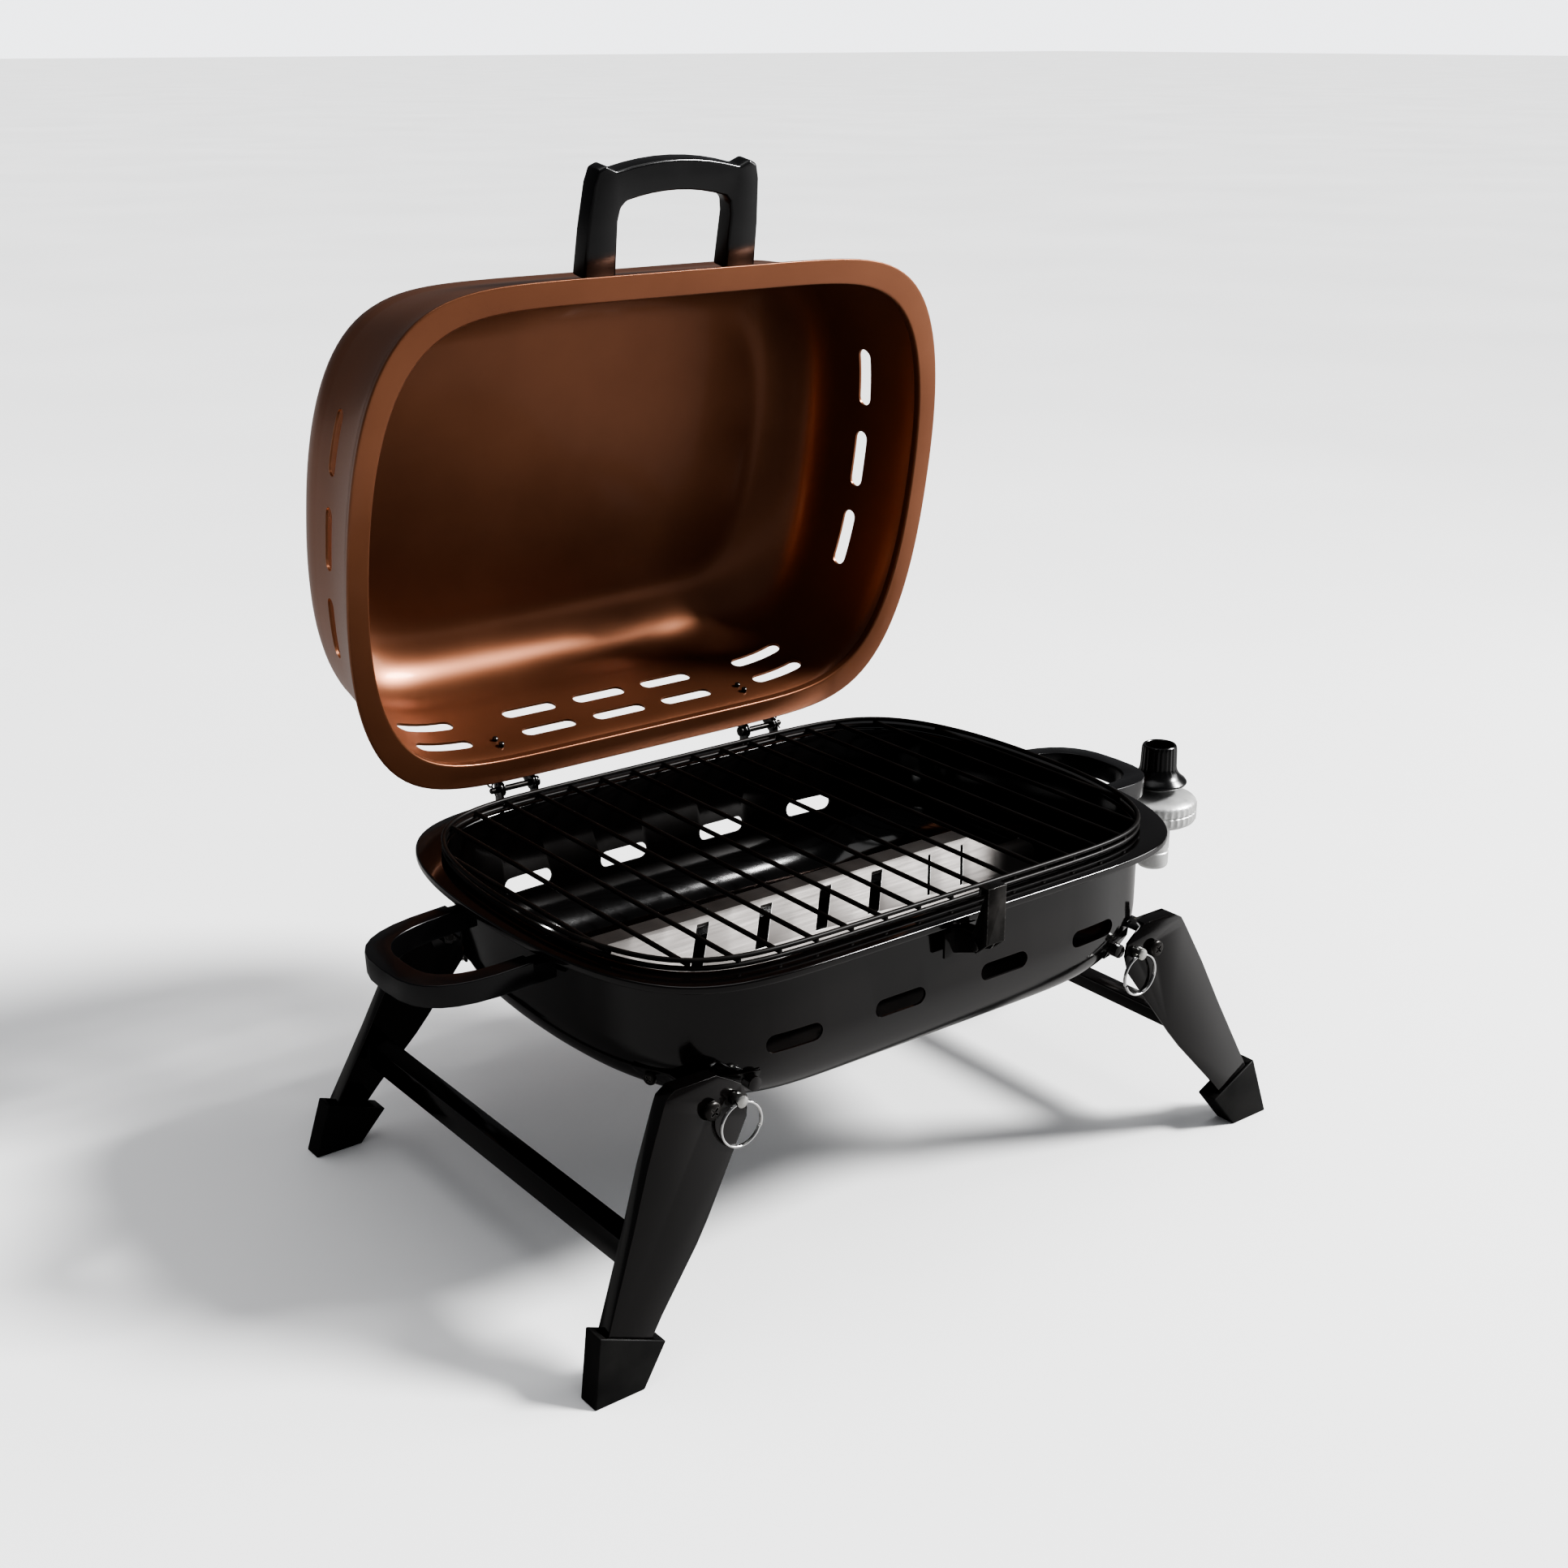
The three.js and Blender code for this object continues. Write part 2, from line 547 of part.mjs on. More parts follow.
// The bracket hugs the bowl's lower corner and holds the pivot bolt behind the leg.
const BRACKET = {
  sheet: 1.8, low: 138, high: 150.8, pivotPlate: 11.5, plateY: -145.9, stemHalf: 7, screwX: 184,
};
const STOP_STUD = { x: 144.5, z: 144.5, radius: 4.4, faceY: -149.9 };

// Places +Y on the bowl's outward normal at the bracket's side screw. end is 1 in front, -1 behind.
function screwPlace(end) {
  const z = (BRACKET.low + BRACKET.high) / 2;
  const runIn = quarter((BOWL_BEND_Z - z) / (BOWL_BEND_Z - BOWL_BOTTOM_Z));
  const a = BOWL_END_X - BOWL_CORNER_X * runIn;
  const b = (end > 0 ? BOWL_FRONT_Y : BOWL_BACK_Y) - BOWL_CORNER_Y * runIn;
  const x = BRACKET.screwX;
  const y = halfWidth({ a, b }, x);
  const normal = new THREE.Vector3(
    (OUTLINE_P / a) * (x / a) ** (OUTLINE_P - 1), -(OUTLINE_Q / b) * (y / b) ** (OUTLINE_Q - 1), 0);
  const turn = new THREE.Quaternion().setFromUnitVectors(new THREE.Vector3(0, 1, 0), normal.normalize());
  return new THREE.Matrix4().compose(new THREE.Vector3(x, -y, z), turn, new THREE.Vector3(1, 1, 1));
}
function screwCylinder(end, radius, from, to) {
  const geometry = new THREE.CylinderGeometry(radius, radius, to - from, 12);
  return solid(geometry, screwPlace(end).multiply(at(0, (from + to) / 2, 0)));
}
// The bowl grown by some clearance, with the end asked for turned to the front.
const grownBowl = (end, grow) => bowlBody(RIM_Z - 20, grow).scale([1, end, 1]);

function makeBracket(end) {
  const bowlSide = grownBowl(end, GAP);
  const { sheet, low, high, pivotPlate, plateY, stemHalf } = BRACKET;
  const screwY = new THREE.Vector3().setFromMatrixPosition(screwPlace(end)).y;
  const strap = grownBowl(end, GAP + sheet)
    .subtract(bowlSide)
    .intersect(box([139, -200, low], [199, screwY + 8, high]));
  // The leg leans but turns about a level axis, so this upright plate stands clear of its sweep.
  const plateAtPivot = rod("y", plateY, plateY + sheet, pivotPlate, [PIVOT.x, PIVOT.z], 20);
  const gusset = box(
    [PIVOT.x - stemHalf, plateY + 0.3, high - sheet],
    [PIVOT.x + stemHalf, screwY, high]);
  const stud = rod("y", STOP_STUD.faceY, -100, STOP_STUD.radius, [STOP_STUD.x, STOP_STUD.z], 12);
  const pivotHole = rod("y", -170, -130, BOLT_RADIUS + 0.3, [PIVOT.x, PIVOT.z], 12);
  const screwHole = screwCylinder(end, SCREW_RADIUS + GAP, -3, 10);
  return cut(unite([strap, plateAtPivot, gusset, stud]), [bowlSide, pivotHole, screwHole]);
}

function makePivotBolt() {
  const y = faceY(PIVOT.z);
  const head = rod("y", y - 4.6, y - 1.5, 5.8, [PIVOT.x, PIVOT.z], 14);
  const nutY = BRACKET.plateY + BRACKET.sheet + GAP;
  const shank = rod("y", y - 2, nutY + 5, BOLT_RADIUS - 0.1, [PIVOT.x, PIVOT.z], 12);
  const nut = rod("y", nutY, nutY + 4, 5, [PIVOT.x, PIVOT.z], 6);
  return unite([head, shank, nut]);
}

// A spring pin that locks the leg to its bracket, and the split ring it is pulled by.
const PULL_RING = { radius: 13.5, wire: 1, y: -155.3, z: 126.7 };
function makeLockPin() {
  const y = faceY(LOCK.z);
  const head = rod("y", y - 8, y - 1, 4, [LOCK.x, LOCK.z], 12);
  const shank = rod("y", y - 2, y + LEG_SHEET + 1.5, PIN_RADIUS, [LOCK.x, LOCK.z], 12);
  const { radius, wire, y: ringY, z } = PULL_RING;
  const eye = rod("x", LOCK.x - 6, LOCK.x + 6, wire + 0.9, [ringY, z + radius], 10);
  return head.add(shank).subtract(eye);
}
function makePullRing() {
  const { radius, wire, y, z } = PULL_RING;
  return solid(new THREE.TorusGeometry(radius, wire, 5, 18), at(LOCK.x, y, z, Math.PI / 2));
}

// A pan-head screw through the end of the bracket's strap.
function makeBracketScrew(end) {
  const outside = GAP + BRACKET.sheet;
  const head = screwCylinder(end, 4.2, outside - 2, outside + 2.6)
    .subtract(grownBowl(end, outside + 0.3));
  return head.add(screwCylinder(end, SCREW_RADIUS, 0.6, outside + 1.5));
}

for (const [sideName, side] of SIDES) {
  for (const [endName, end] of ENDS) {
    const corner = `${endName}_${sideName}`;
    const add = (name, body, look) => piece(grill, `${name}_${corner}`, mirrored(body, side, end), look);
    add("leg", makeLeg(), enamelBlack());
    add("foot", makeFoot(), rubber());
    add("leg_bracket", makeBracket(end), enamelBlack());
    add("bracket_screw", makeBracketScrew(end), steel());
    add("pivot_bolt", makePivotBolt(), steel());
    add("lock_pin", makeLockPin(), steel());
    add("pull_ring", makePullRing(), steel());
  }
  piece(grill, `crossbar_${sideName}`, mirrored(makeCrossbar(), side, 1), enamelBlack());
}

// ---- Hinges ----
// Both are made round x = 0 and moved to their places. Points are [y, z] with the lid closed.
const HINGE = { eye: 5, pin: 2, leafArm: 10.5, earArm: 12.6, sheet: 1.6, clipX: 17.2 };
const eyeArc = (fromDeg, toDeg) => arc(HINGE_Y, HINGE_Z, HINGE.eye, fromDeg, toDeg, 8);
function makeLeaf() {
  const { leafArm, sheet, pin } = HINGE;
  const [low, high] = [LID_RIM_Z + 19.6, LID_RIM_Z + 41.6];
  const back = box([-leafArm - sheet, 158, low], [leafArm + sheet, 159.6, high]);
  const side = [
    [158, high], [158, low], [163.4, low - 1.5], [168.9, 220.5], ...eyeArc(150, 400), [159.6, high],
  ];
  const arms = [-leafArm - sheet, leafArm].map((x) => laidPlate("yz", side, x, x + sheet));
  const holes = Object.values(HINGE_SCREW_DEPTHS).map((depth) =>
    rod("y", 150, 170, SCREW_RADIUS + GAP, [0, LID_RIM_Z + depth], 10));
  const bore = rod("x", -20, 20, pin + GAP, [HINGE_Y, HINGE_Z], 14);
  return cut(unite([back, ...arms]), [...holes, bore]);
}
function makeHingeBracket() {
  const { earArm, sheet, pin } = HINGE;
  const lipBottom = RIM_Z - LIP_DROP;
  const wallY = 140;
  const ear = [
    [wallY, 188], [168, 196], [178, 207], ...eyeArc(-40, 190),
    [168, lipBottom - GAP], [wallY, lipBottom - GAP],
  ];
  const ears = [-earArm - sheet, earArm].map((x) => laidPlate("yz", ear, x, x + sheet));
  const bridge = box([-earArm - 0.5, 152, 192], [earArm + 0.5, 153.6, lipBottom - 2]);
  const bore = rod("x", -20, 20, pin + 0.3, [HINGE_Y, HINGE_Z], 14);
  return cut(unite([...ears, bridge]), [bore]);
}
// Turns a body round the hinge axis so that what stood up leans to the back.
const tipBack = (body) =>
  body.translate([0, -HINGE_Y, -HINGE_Z]).rotate([-45, 0, 0]).translate([0, HINGE_Y, HINGE_Z]);
function makeHingePin(side) {
  const { pin, clipX } = HINGE;
  const shank = rod("x", -17 * side, (clipX + 2.6) * side, pin, [HINGE_Y, HINGE_Z], 12);
  const head = rod("x", -17.4 * side, -15.4 * side, 3.6, [HINGE_Y, HINGE_Z], 12);
  const hole = rod("z", HINGE_Z - 5, HINGE_Z + 5, 0.9, [clipX * side, HINGE_Y], 6);
  return cut(shank.add(head), [tipBack(hole)]);
}
// A split pin: a loop behind the hinge pin with one leg through it.
function makeHingeClip(side) {
  const x = HINGE.clipX * side;
  const loop = solid(
    new THREE.TorusGeometry(4, 0.6, 5, 12), at(x, HINGE_Y, HINGE_Z + 7.4, 0, Math.PI / 2));
  return tipBack(loop.add(rod("z", HINGE_Z - 4.5, HINGE_Z + 3.6, 0.6, [x, HINGE_Y], 6)));
}
function makeHingeScrew(depth) {
  const z = LID_RIM_Z + depth;
  const shank = rod("y", 151.5, 161.5, SCREW_RADIUS, [0, z], 10);
  return shank.add(rod("y", 159.9, 162, 3.6, [0, z], 12));
}
for (const [name, side] of SIDES) {
  const place = [side * HINGE_X, 0, 0];
  lidPiece(`hinge_leaf_${name}`, makeLeaf().translate(place), enamelBlack());
  for (const [level, depth] of Object.entries(HINGE_SCREW_DEPTHS)) {
    lidPiece(`hinge_screw_${name}_${level}`, makeHingeScrew(depth).translate(place), steel());
  }
  const bracket = makeHingeBracket().translate(place).subtract(bowlBody(RIM_Z - 0.1, GAP));
  piece(grill, `hinge_bracket_${name}`, bracket, enamelBlack());
  piece(grill, `hinge_pin_${name}`, makeHingePin(side).translate(place), steel());
  piece(grill, `hinge_clip_${name}`, makeHingeClip(side).translate(place), steel());
}

// ---- Front latch ----
const LATCH = { pivotY: -177.5, pivotZ: 200, half: 7, sheet: 1.5, pin: 1.8, faceY: -186.6, topZ: 240 };
function makeLatchLever() {
  const { pivotY, pivotZ, half, sheet, pin, faceY: face, topZ } = LATCH;
  const front = box([-half, face, 203], [half, face + sheet, topZ - 2]);
  const hook = box([-half, face, topZ - 3.5], [half, face + 8, topZ - 2]);
  const hookTip = box([-half, face + 6.5, topZ - 8], [half, face + 8, topZ - 2]);
  const side = [
    [face, 203], [pivotY, 195.2], [pivotY + 4, 197], [pivotY + 4.4, 203], [-176, 212], [-181, 226],
    [face + 2, topZ - 4], [face, topZ - 4],
  ];
  const cheeks = [-half, half - sheet].map((x) => laidPlate("yz", side, x, x + sheet));
  const bore = rod("x", -20, 20, pin + 0.4, [pivotY, pivotZ], 14);
  return cut(unite([front, hook, hookTip, ...cheeks]), [bore]);
}
function makeLatchBracket() {
  const { pivotY, pivotZ, half, sheet, pin } = LATCH;
  const reach = half - sheet - GAP;
  const wing = [
    [-151, 186], [-151, 204], [-170, 206], [pivotY - 2, 204.6], [pivotY - 4, 200],
    [pivotY - 1, 196], [-168, 192],
  ];
  const wings = [-reach, reach - sheet].map((x) => laidPlate("yz", wing, x, x + sheet));
  const back = box([-12, -157, 186], [12, -155.2, 204]);
  const spine = box([-reach, -160, 190], [reach, -150, 191.6]);
  const bore = rod("x", -20, 20, pin + 0.3, [pivotY, pivotZ], 14);
  return cut(unite([...wings, back, spine]), [bore, bowlBody(RIM_Z - 1, GAP)]);
}
function makeLatchPin() {
  const { pivotY, pivotZ, half, pin } = LATCH;
  const heads = [-1, 1].map((side) =>
    rod("x", side * (half + 0.4), side * (half + 2), 3, [pivotY, pivotZ], 12));
  return unite([rod("x", -half - 1, half + 1, pin, [pivotY, pivotZ], 12), ...heads]);
}
piece(grill, "latch_lever", makeLatchLever(), steel());
piece(grill, "latch_bracket", makeLatchBracket(), enamelBlack());
piece(grill, "latch_pin", makeLatchPin(), steel());

// The part's own origin is on the table under the middle of its bounding box, lid open.
const BOX_MIDDLE = { x: 37.3, y: 51 };
grill.position.set(-BOX_MIDDLE.x, -BOX_MIDDLE.y, 0);
const part = new THREE.Group();
part.add(grill);

export default part;
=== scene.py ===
import json
import math

import bmesh
import bpy
from mathutils import Matrix, Vector


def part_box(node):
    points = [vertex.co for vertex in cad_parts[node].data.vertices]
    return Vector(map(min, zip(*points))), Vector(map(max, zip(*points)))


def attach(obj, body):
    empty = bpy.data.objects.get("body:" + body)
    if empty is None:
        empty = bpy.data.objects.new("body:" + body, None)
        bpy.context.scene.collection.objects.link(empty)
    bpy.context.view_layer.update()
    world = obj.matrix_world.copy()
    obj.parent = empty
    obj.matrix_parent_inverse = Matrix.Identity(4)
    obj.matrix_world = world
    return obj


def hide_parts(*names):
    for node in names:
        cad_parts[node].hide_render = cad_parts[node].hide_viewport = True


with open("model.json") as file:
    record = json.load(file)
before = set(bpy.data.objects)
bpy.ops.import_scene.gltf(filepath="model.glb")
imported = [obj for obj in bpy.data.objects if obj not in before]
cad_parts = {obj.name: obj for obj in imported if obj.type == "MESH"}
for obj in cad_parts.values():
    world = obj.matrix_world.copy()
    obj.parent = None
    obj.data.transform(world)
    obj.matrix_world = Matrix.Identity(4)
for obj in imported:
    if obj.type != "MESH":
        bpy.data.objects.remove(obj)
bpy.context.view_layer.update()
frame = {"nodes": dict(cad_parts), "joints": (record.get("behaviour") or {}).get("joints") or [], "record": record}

# Looks of a portable tabletop gas grill. Shapes are worked out in millimetres in the CAD frame and
# made in metres: the rim of the bowl lies level, the lid stands open behind it on its hinges.
MM = 0.001
NODE_BODY = {n: b for b, nodes in frame["record"]["behaviour"]["bodies"].items() for n in nodes}
SIDES = (("left", -1), ("right", 1))
CORNERS = [
    (f"{end}_{side}", x, y) for side, x in SIDES for end, y in (("front", -1), ("back", 1))]
X_AXIS, Y_AXIS, Z_AXIS = Vector((1, 0, 0)), Vector((0, 1, 0)), Vector((0, 0, 1))

LID_OPEN = math.radians(79.8)
HINGE = next(Vector(joint["pos_m"]) for joint in frame["joints"] if joint["name"] == "lid_hinge")
OPENING = (
    Matrix.Translation(HINGE) @ Matrix.Rotation(-LID_OPEN, 4, "X") @ Matrix.Translation(-HINGE))


def box_mm(node):
    """A CAD node's lowest and highest corners in millimetres."""
    low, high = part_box(node)
    return low / MM, high / MM


def middle(node):
    """The middle of a CAD node's box in metres."""
    low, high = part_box(node)
    return (low + high) / 2


# ---- Mesh helpers ----
def object_from(bm, name, sharp_deg=32):
    """A mesh object from bm, smooth except over edges sharper than sharp_deg."""
    bmesh.ops.recalc_face_normals(bm, faces=bm.faces)
    limit = math.radians(sharp_deg)
    for face in bm.faces:
        face.smooth = True
    for edge in bm.edges:
        edge.smooth = len(edge.link_faces) == 2 and edge.calc_face_angle(0.0) < limit
    mesh = bpy.data.meshes.new(name)
    bm.to_mesh(mesh)
    bm.free()
    made = bpy.data.objects.new(name, mesh)
    bpy.context.scene.collection.objects.link(made)
    return made


def place(made, node, slot):
    """Puts a finished piece on the body of the CAD node that it stands for, and hides that node."""
    made.data.materials.clear()
    made.data.materials.append(MATERIALS[slot])
    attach(made, NODE_BODY[node])
    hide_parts(node)


def bridge(bm, rings, closed=False):
    """Quads between rings that each hold the same number of vertices."""
    count = len(rings[0])
    pairs = list(zip(rings, rings[1:]))
    if closed:
        pairs.append((rings[-1], rings[0]))
    for low, high in pairs:
        for i in range(count):
            j = (i + 1) % count
            bm.faces.new((low[i], low[j], high[j], high[i]))


def skin(name, rings, closed=False):
    """A closed body through the rings, with flat ends unless the last ring joins the first."""
    bm = bmesh.new()
    loops = [[bm.verts.new(point) for point in ring] for ring in rings]
    bridge(bm, loops, closed)
    if not closed:
        bm.faces.new(loops[0])
        bm.faces.new(reversed(loops[-1]))
    return object_from(bm, name)


def tube_rings(path, radius, sides, closed=False):
    """Rings of a round wire along a path, without twist."""
    count = len(path)
    tangents = []
    for i in range(count):
        after = (i + 1) % count if closed else min(i + 1, count - 1)
        before = (i - 1) % count if closed else max(i - 1, 0)
        tangents.append((path[after] - path[before]).normalized())
    normal = tangents[0].orthogonal().normalized()
    rings = []
    for point, tangent in zip(path, tangents):
        normal = (normal - tangent * normal.dot(tangent)).normalized()
        side = tangent.cross(normal)
        rings.append([
            point + radius * (math.cos(a) * normal + math.sin(a) * side)
            for a in (2 * math.pi * k / sides for k in range(sides))
        ])
    return rings


def turned_rings(profile, centre, direction, segments=48, wave=None):
    """Rings of a turned shape about a direction from centre, a point in metres.

    The profile is (radius, distance along the axis) in millimetres. wave(along, angle) gives the
    share by which the radius grows there.
    """
    axis = Vector(direction).normalized()
    u = axis.orthogonal().normalized()
    v = axis.cross(u)
    rings = []
    for radius, along in profile:
        ring = []
        for k in range(segments):
            angle = 2 * math.pi * k / segments
            reach = radius * (1 + (wave(along, angle) if wave else 0))
            offset = reach * (math.cos(angle) * u + math.sin(angle) * v) + along * axis
            ring.append(centre + offset * MM)
        rings.append(ring)
    return rings


TIP_RADIUS = 0.02  # millimetres; a turned shape's pointed end is a tiny flat


def turned(name, profile, centre, direction, segments=48, wave=None):
    """A solid turned shape; see turned_rings."""
    closed_profile = [(max(radius, TIP_RADIUS), along) for radius, along in profile]
    return skin(name, turned_rings(closed_profile, centre, direction, segments, wave))


def join(name, parts):
    """One mesh object from several, each a closed body."""
    bm = bmesh.new()
    for part in parts:
        bm.from_mesh(part.data)
        bpy.data.objects.remove(part)
    return object_from(bm, name)


def bake(made):
    """Applies an object's modifiers to its mesh."""
    graph = bpy.context.evaluated_depsgraph_get()
    mesh = bpy.data.meshes.new_from_object(made.evaluated_get(graph))
    made.modifiers.clear()
    made.data = mesh


def carve(made, cutters):
    """Cuts the cutters out of a piece and shades it again."""
    tool = join("cutter", cutters)
    cut = made.modifiers.new("cut", "BOOLEAN")
    cut.operation, cut.solver, cut.object = "DIFFERENCE", "EXACT", tool
    bake(made)
    bpy.data.objects.remove(tool)
    bm = bmesh.new()
    bm.from_mesh(made.data)
    name = made.name
    bpy.data.objects.remove(made)
    return object_from(bm, name)


FLAT_DEG = 1.5  # faces that meet at less than this become one
EDGE_DEG = 28  # edges sharper than this are rounded over
ROUNDED_DEG = 40  # edges sharper than this stay sharp after the rounding


def refined(node, slot, width, segments):
    """A CAD node's own shape with its flat faces cleaned and its edges rounded over."""
    bm = bmesh.new()
    bm.from_mesh(frame["nodes"][node].data)
    bmesh.ops.remove_doubles(bm, verts=bm.verts, dist=1e-6)
    bmesh.ops.dissolve_limit(
        bm, angle_limit=math.radians(FLAT_DEG), verts=bm.verts, edges=bm.edges)
    made = object_from(bm, node + "_skin", EDGE_DEG)
    rounding = made.modifiers.new("rounding", "BEVEL")
    rounding.width, rounding.segments = width * MM, segments
    rounding.limit_method, rounding.angle_limit = "ANGLE", math.radians(EDGE_DEG)
    bake(made)
    bm = bmesh.new()
    bm.from_mesh(made.data)
    bpy.data.objects.remove(made)
    place(object_from(bm, node + "_skin", ROUNDED_DEG), node, slot)


# ---- Outlines ----
OUTLINE_P, OUTLINE_Q = 7.3, 2.3  # exponents of the bowl's and lid's superellipse outline
ROUND = 192  # points round a pressed shell
FINER = 40  # steps between two of those points while they are being spaced evenly


def unit_outline(count):
    """Points of the unit outline, evenly spaced along the flange."""
    low, high = box_mm("bowl")
    half = (high - low) / 2
    dense = []
    for i in range(count * FINER):
        angle = 2 * math.pi * i / (count * FINER)
        c, s = math.cos(angle), math.sin(angle)
        dense.append((
            math.copysign(abs(c) ** (2 / OUTLINE_P), c),
            math.copysign(abs(s) ** (2 / OUTLINE_Q), s)))
    lengths = [0.0]
    for (u0, v0), (u1, v1) in zip(dense, dense[1:] + dense[:1]):
        lengths.append(lengths[-1] + math.hypot((u1 - u0) * half.x, (v1 - v0) * half.y))
    points, k = [], 0
    for i in range(count):
        goal = lengths[-1] * i / count
        while lengths[k + 1] < goal:
            k += 1
        share = (goal - lengths[k]) / max(lengths[k + 1] - lengths[k], 1e-12)
        (u0, v0), (u1, v1) = dense[k], dense[(k + 1) % len(dense)]
        points.append((u0 + (u1 - u0) * share, v0 + (v1 - v0) * share))
    return points


UNIT = unit_outline(ROUND)


def outline_ring(row):
    """A level ring from (half length, front half width, back half width, height) in millimetres."""
    a, front, back, z = row
    return [Vector((u * a, v * (front if v < 0 else back), z)) * MM for u, v in UNIT]


def soften(rows, reach, steps=4):
    """Rounds the bends of a profile whose rows are 4-vectors, over a given reach in millimetres."""
    made = [rows[0]]
    for before, here, after in zip(rows, rows[1:], rows[2:]):
        bend = []
        for other in (before, after):
            span = math.hypot(other[0] - here[0], other[3] - here[3])
            share = min(reach, 0.45 * span) / max(span, 1e-9)
            bend.append([h + (o - h) * share for h, o in zip(here, other)])
        for k in range(steps + 1):
            t = k / steps
            weights = ((1 - t) ** 2, 2 * t * (1 - t), t * t)
            made.append([
                weights[0] * p + weights[1] * q + weights[2] * r
                for p, q, r in zip(bend[0], here, bend[1])])
    made.append(rows[-1])
    return made


def flowing(rows, steps=5):
    """A smooth (Catmull-Rom) profile through the rows."""
    made = []
    ends = [rows[0], *rows, rows[-1]]
    for p0, p1, p2, p3 in zip(ends, ends[1:], ends[2:], ends[3:]):
        for k in range(steps):
            t = k / steps
            made.append([
                0.5 * (2 * b + (c - a) * t + (2 * a - 5 * b + 4 * c - d) * t * t
                       + (3 * b - a - 3 * c + d) * t ** 3)
                for a, b, c, d in zip(p0, p1, p2, p3)])
    made.append(list(rows[-1]))
    return made


def slot_prism(centre, along, across, through, length, width, depth, steps=8):
    """A closed prism with round ends, for cutting a slot. Sizes and centre are in millimetres."""
    radius, reach = width / 2, length / 2 - width / 2
    outline = []
    for start, sign in ((-90, 1), (90, -1)):
        for k in range(steps + 1):
            angle = math.radians(start + 180 * k / steps)
            outline.append((sign * reach + radius * math.cos(angle), radius * math.sin(angle)))
    rings = []
    for side in (-0.5, 0.5):
        rings.append([
            (centre + u * along + v * across + side * depth * through) * MM for u, v in outline])
    return skin("slot", rings)


# ---- Materials ----
def noise(tree, scale, detail, stretch=(1, 1, 1)):
    """Noise in the object's own coordinates, so it stays with a piece that moves.

    The scale is per metre.
    """
    coordinates = tree.nodes.new("ShaderNodeTexCoord")
    mapping = tree.nodes.new("ShaderNodeMapping")
    mapping.inputs["Scale"].default_value = stretch
    made = tree.nodes.new("ShaderNodeTexNoise")
    made.inputs["Scale"].default_value = scale
    made.inputs["Detail"].default_value = detail
    tree.links.new(coordinates.outputs["Object"], mapping.inputs["Vector"])
    tree.links.new(mapping.outputs["Vector"], made.inputs["Vector"])
    return made.outputs["Fac"]


def ramp(tree, value, low, high, low_color, high_color):
    """A colour that runs from one to the other while value goes from low to high."""
    made = tree.nodes.new("ShaderNodeValToRGB")
    made.color_ramp.elements[0].position, made.color_ramp.elements[1].position = low, high
    made.color_ramp.elements[0].color = (*low_color, 1)
    made.color_ramp.elements[1].color = (*high_color, 1)
    tree.links.new(value, made.inputs["Fac"])
    return made.outputs["Color"]


def remap(tree, value, low, high):
    """The middle of a noise's range, stretched to low and high."""
    made = tree.nodes.new("ShaderNodeMapRange")
    made.inputs["From Min"].default_value, made.inputs["From Max"].default_value = 0.3, 0.7
    made.inputs["To Min"].default_value, made.inputs["To Max"].default_value = low, high
    tree.links.new(value, made.inputs["Value"])
    return made.outputs["Result"]


def edge_mask(tree, radius):
    """0 on flat faces, 1 on edges tighter than the radius in metres."""
    rounded = tree.nodes.new("ShaderNodeBevel")
    rounded.samples = 4
    rounded.inputs["Radius"].default_value = radius
    plain = tree.nodes.new("ShaderNodeNewGeometry")
    dot = tree.nodes.new("ShaderNodeVectorMath")
    dot.operation = "DOT_PRODUCT"
    tree.links.new(rounded.outputs["Normal"], dot.inputs[0])
    tree.links.new(plain.outputs["Normal"], dot.inputs[1])
    made = tree.nodes.new("ShaderNodeMapRange")
    made.inputs["From Min"].default_value, made.inputs["From Max"].default_value = 0.995, 0.9
    tree.links.new(dot.outputs["Value"], made.inputs["Value"])
    return made.outputs["Result"]


def mix(tree, share, first, second):
    """A mix of two colours; the second may be a plain colour."""
    made = tree.nodes.new("ShaderNodeMix")
    made.data_type = "RGBA"
    tree.links.new(share, made.inputs["Factor"])
    tree.links.new(first, made.inputs["A"])
    if isinstance(second, tuple):
        made.inputs["B"].default_value = (*second, 1)
    else:
        tree.links.new(second, made.inputs["B"])
    return made.outputs["Result"]


def product(tree, first, second):
    """One value times another."""
    made = tree.nodes.new("ShaderNodeMath")
    made.operation = "MULTIPLY"
    tree.links.new(first, made.inputs[0])
    tree.links.new(second, made.inputs[1])
    return made.outputs["Value"]


EDGE_RADIUS = 0.0008  # metres; wear shows on edges tighter than this
GRAIN_SHARE = 0.45  # how much of the uneven roughness comes from the grain
COAT_ROUGHNESS = 0.08


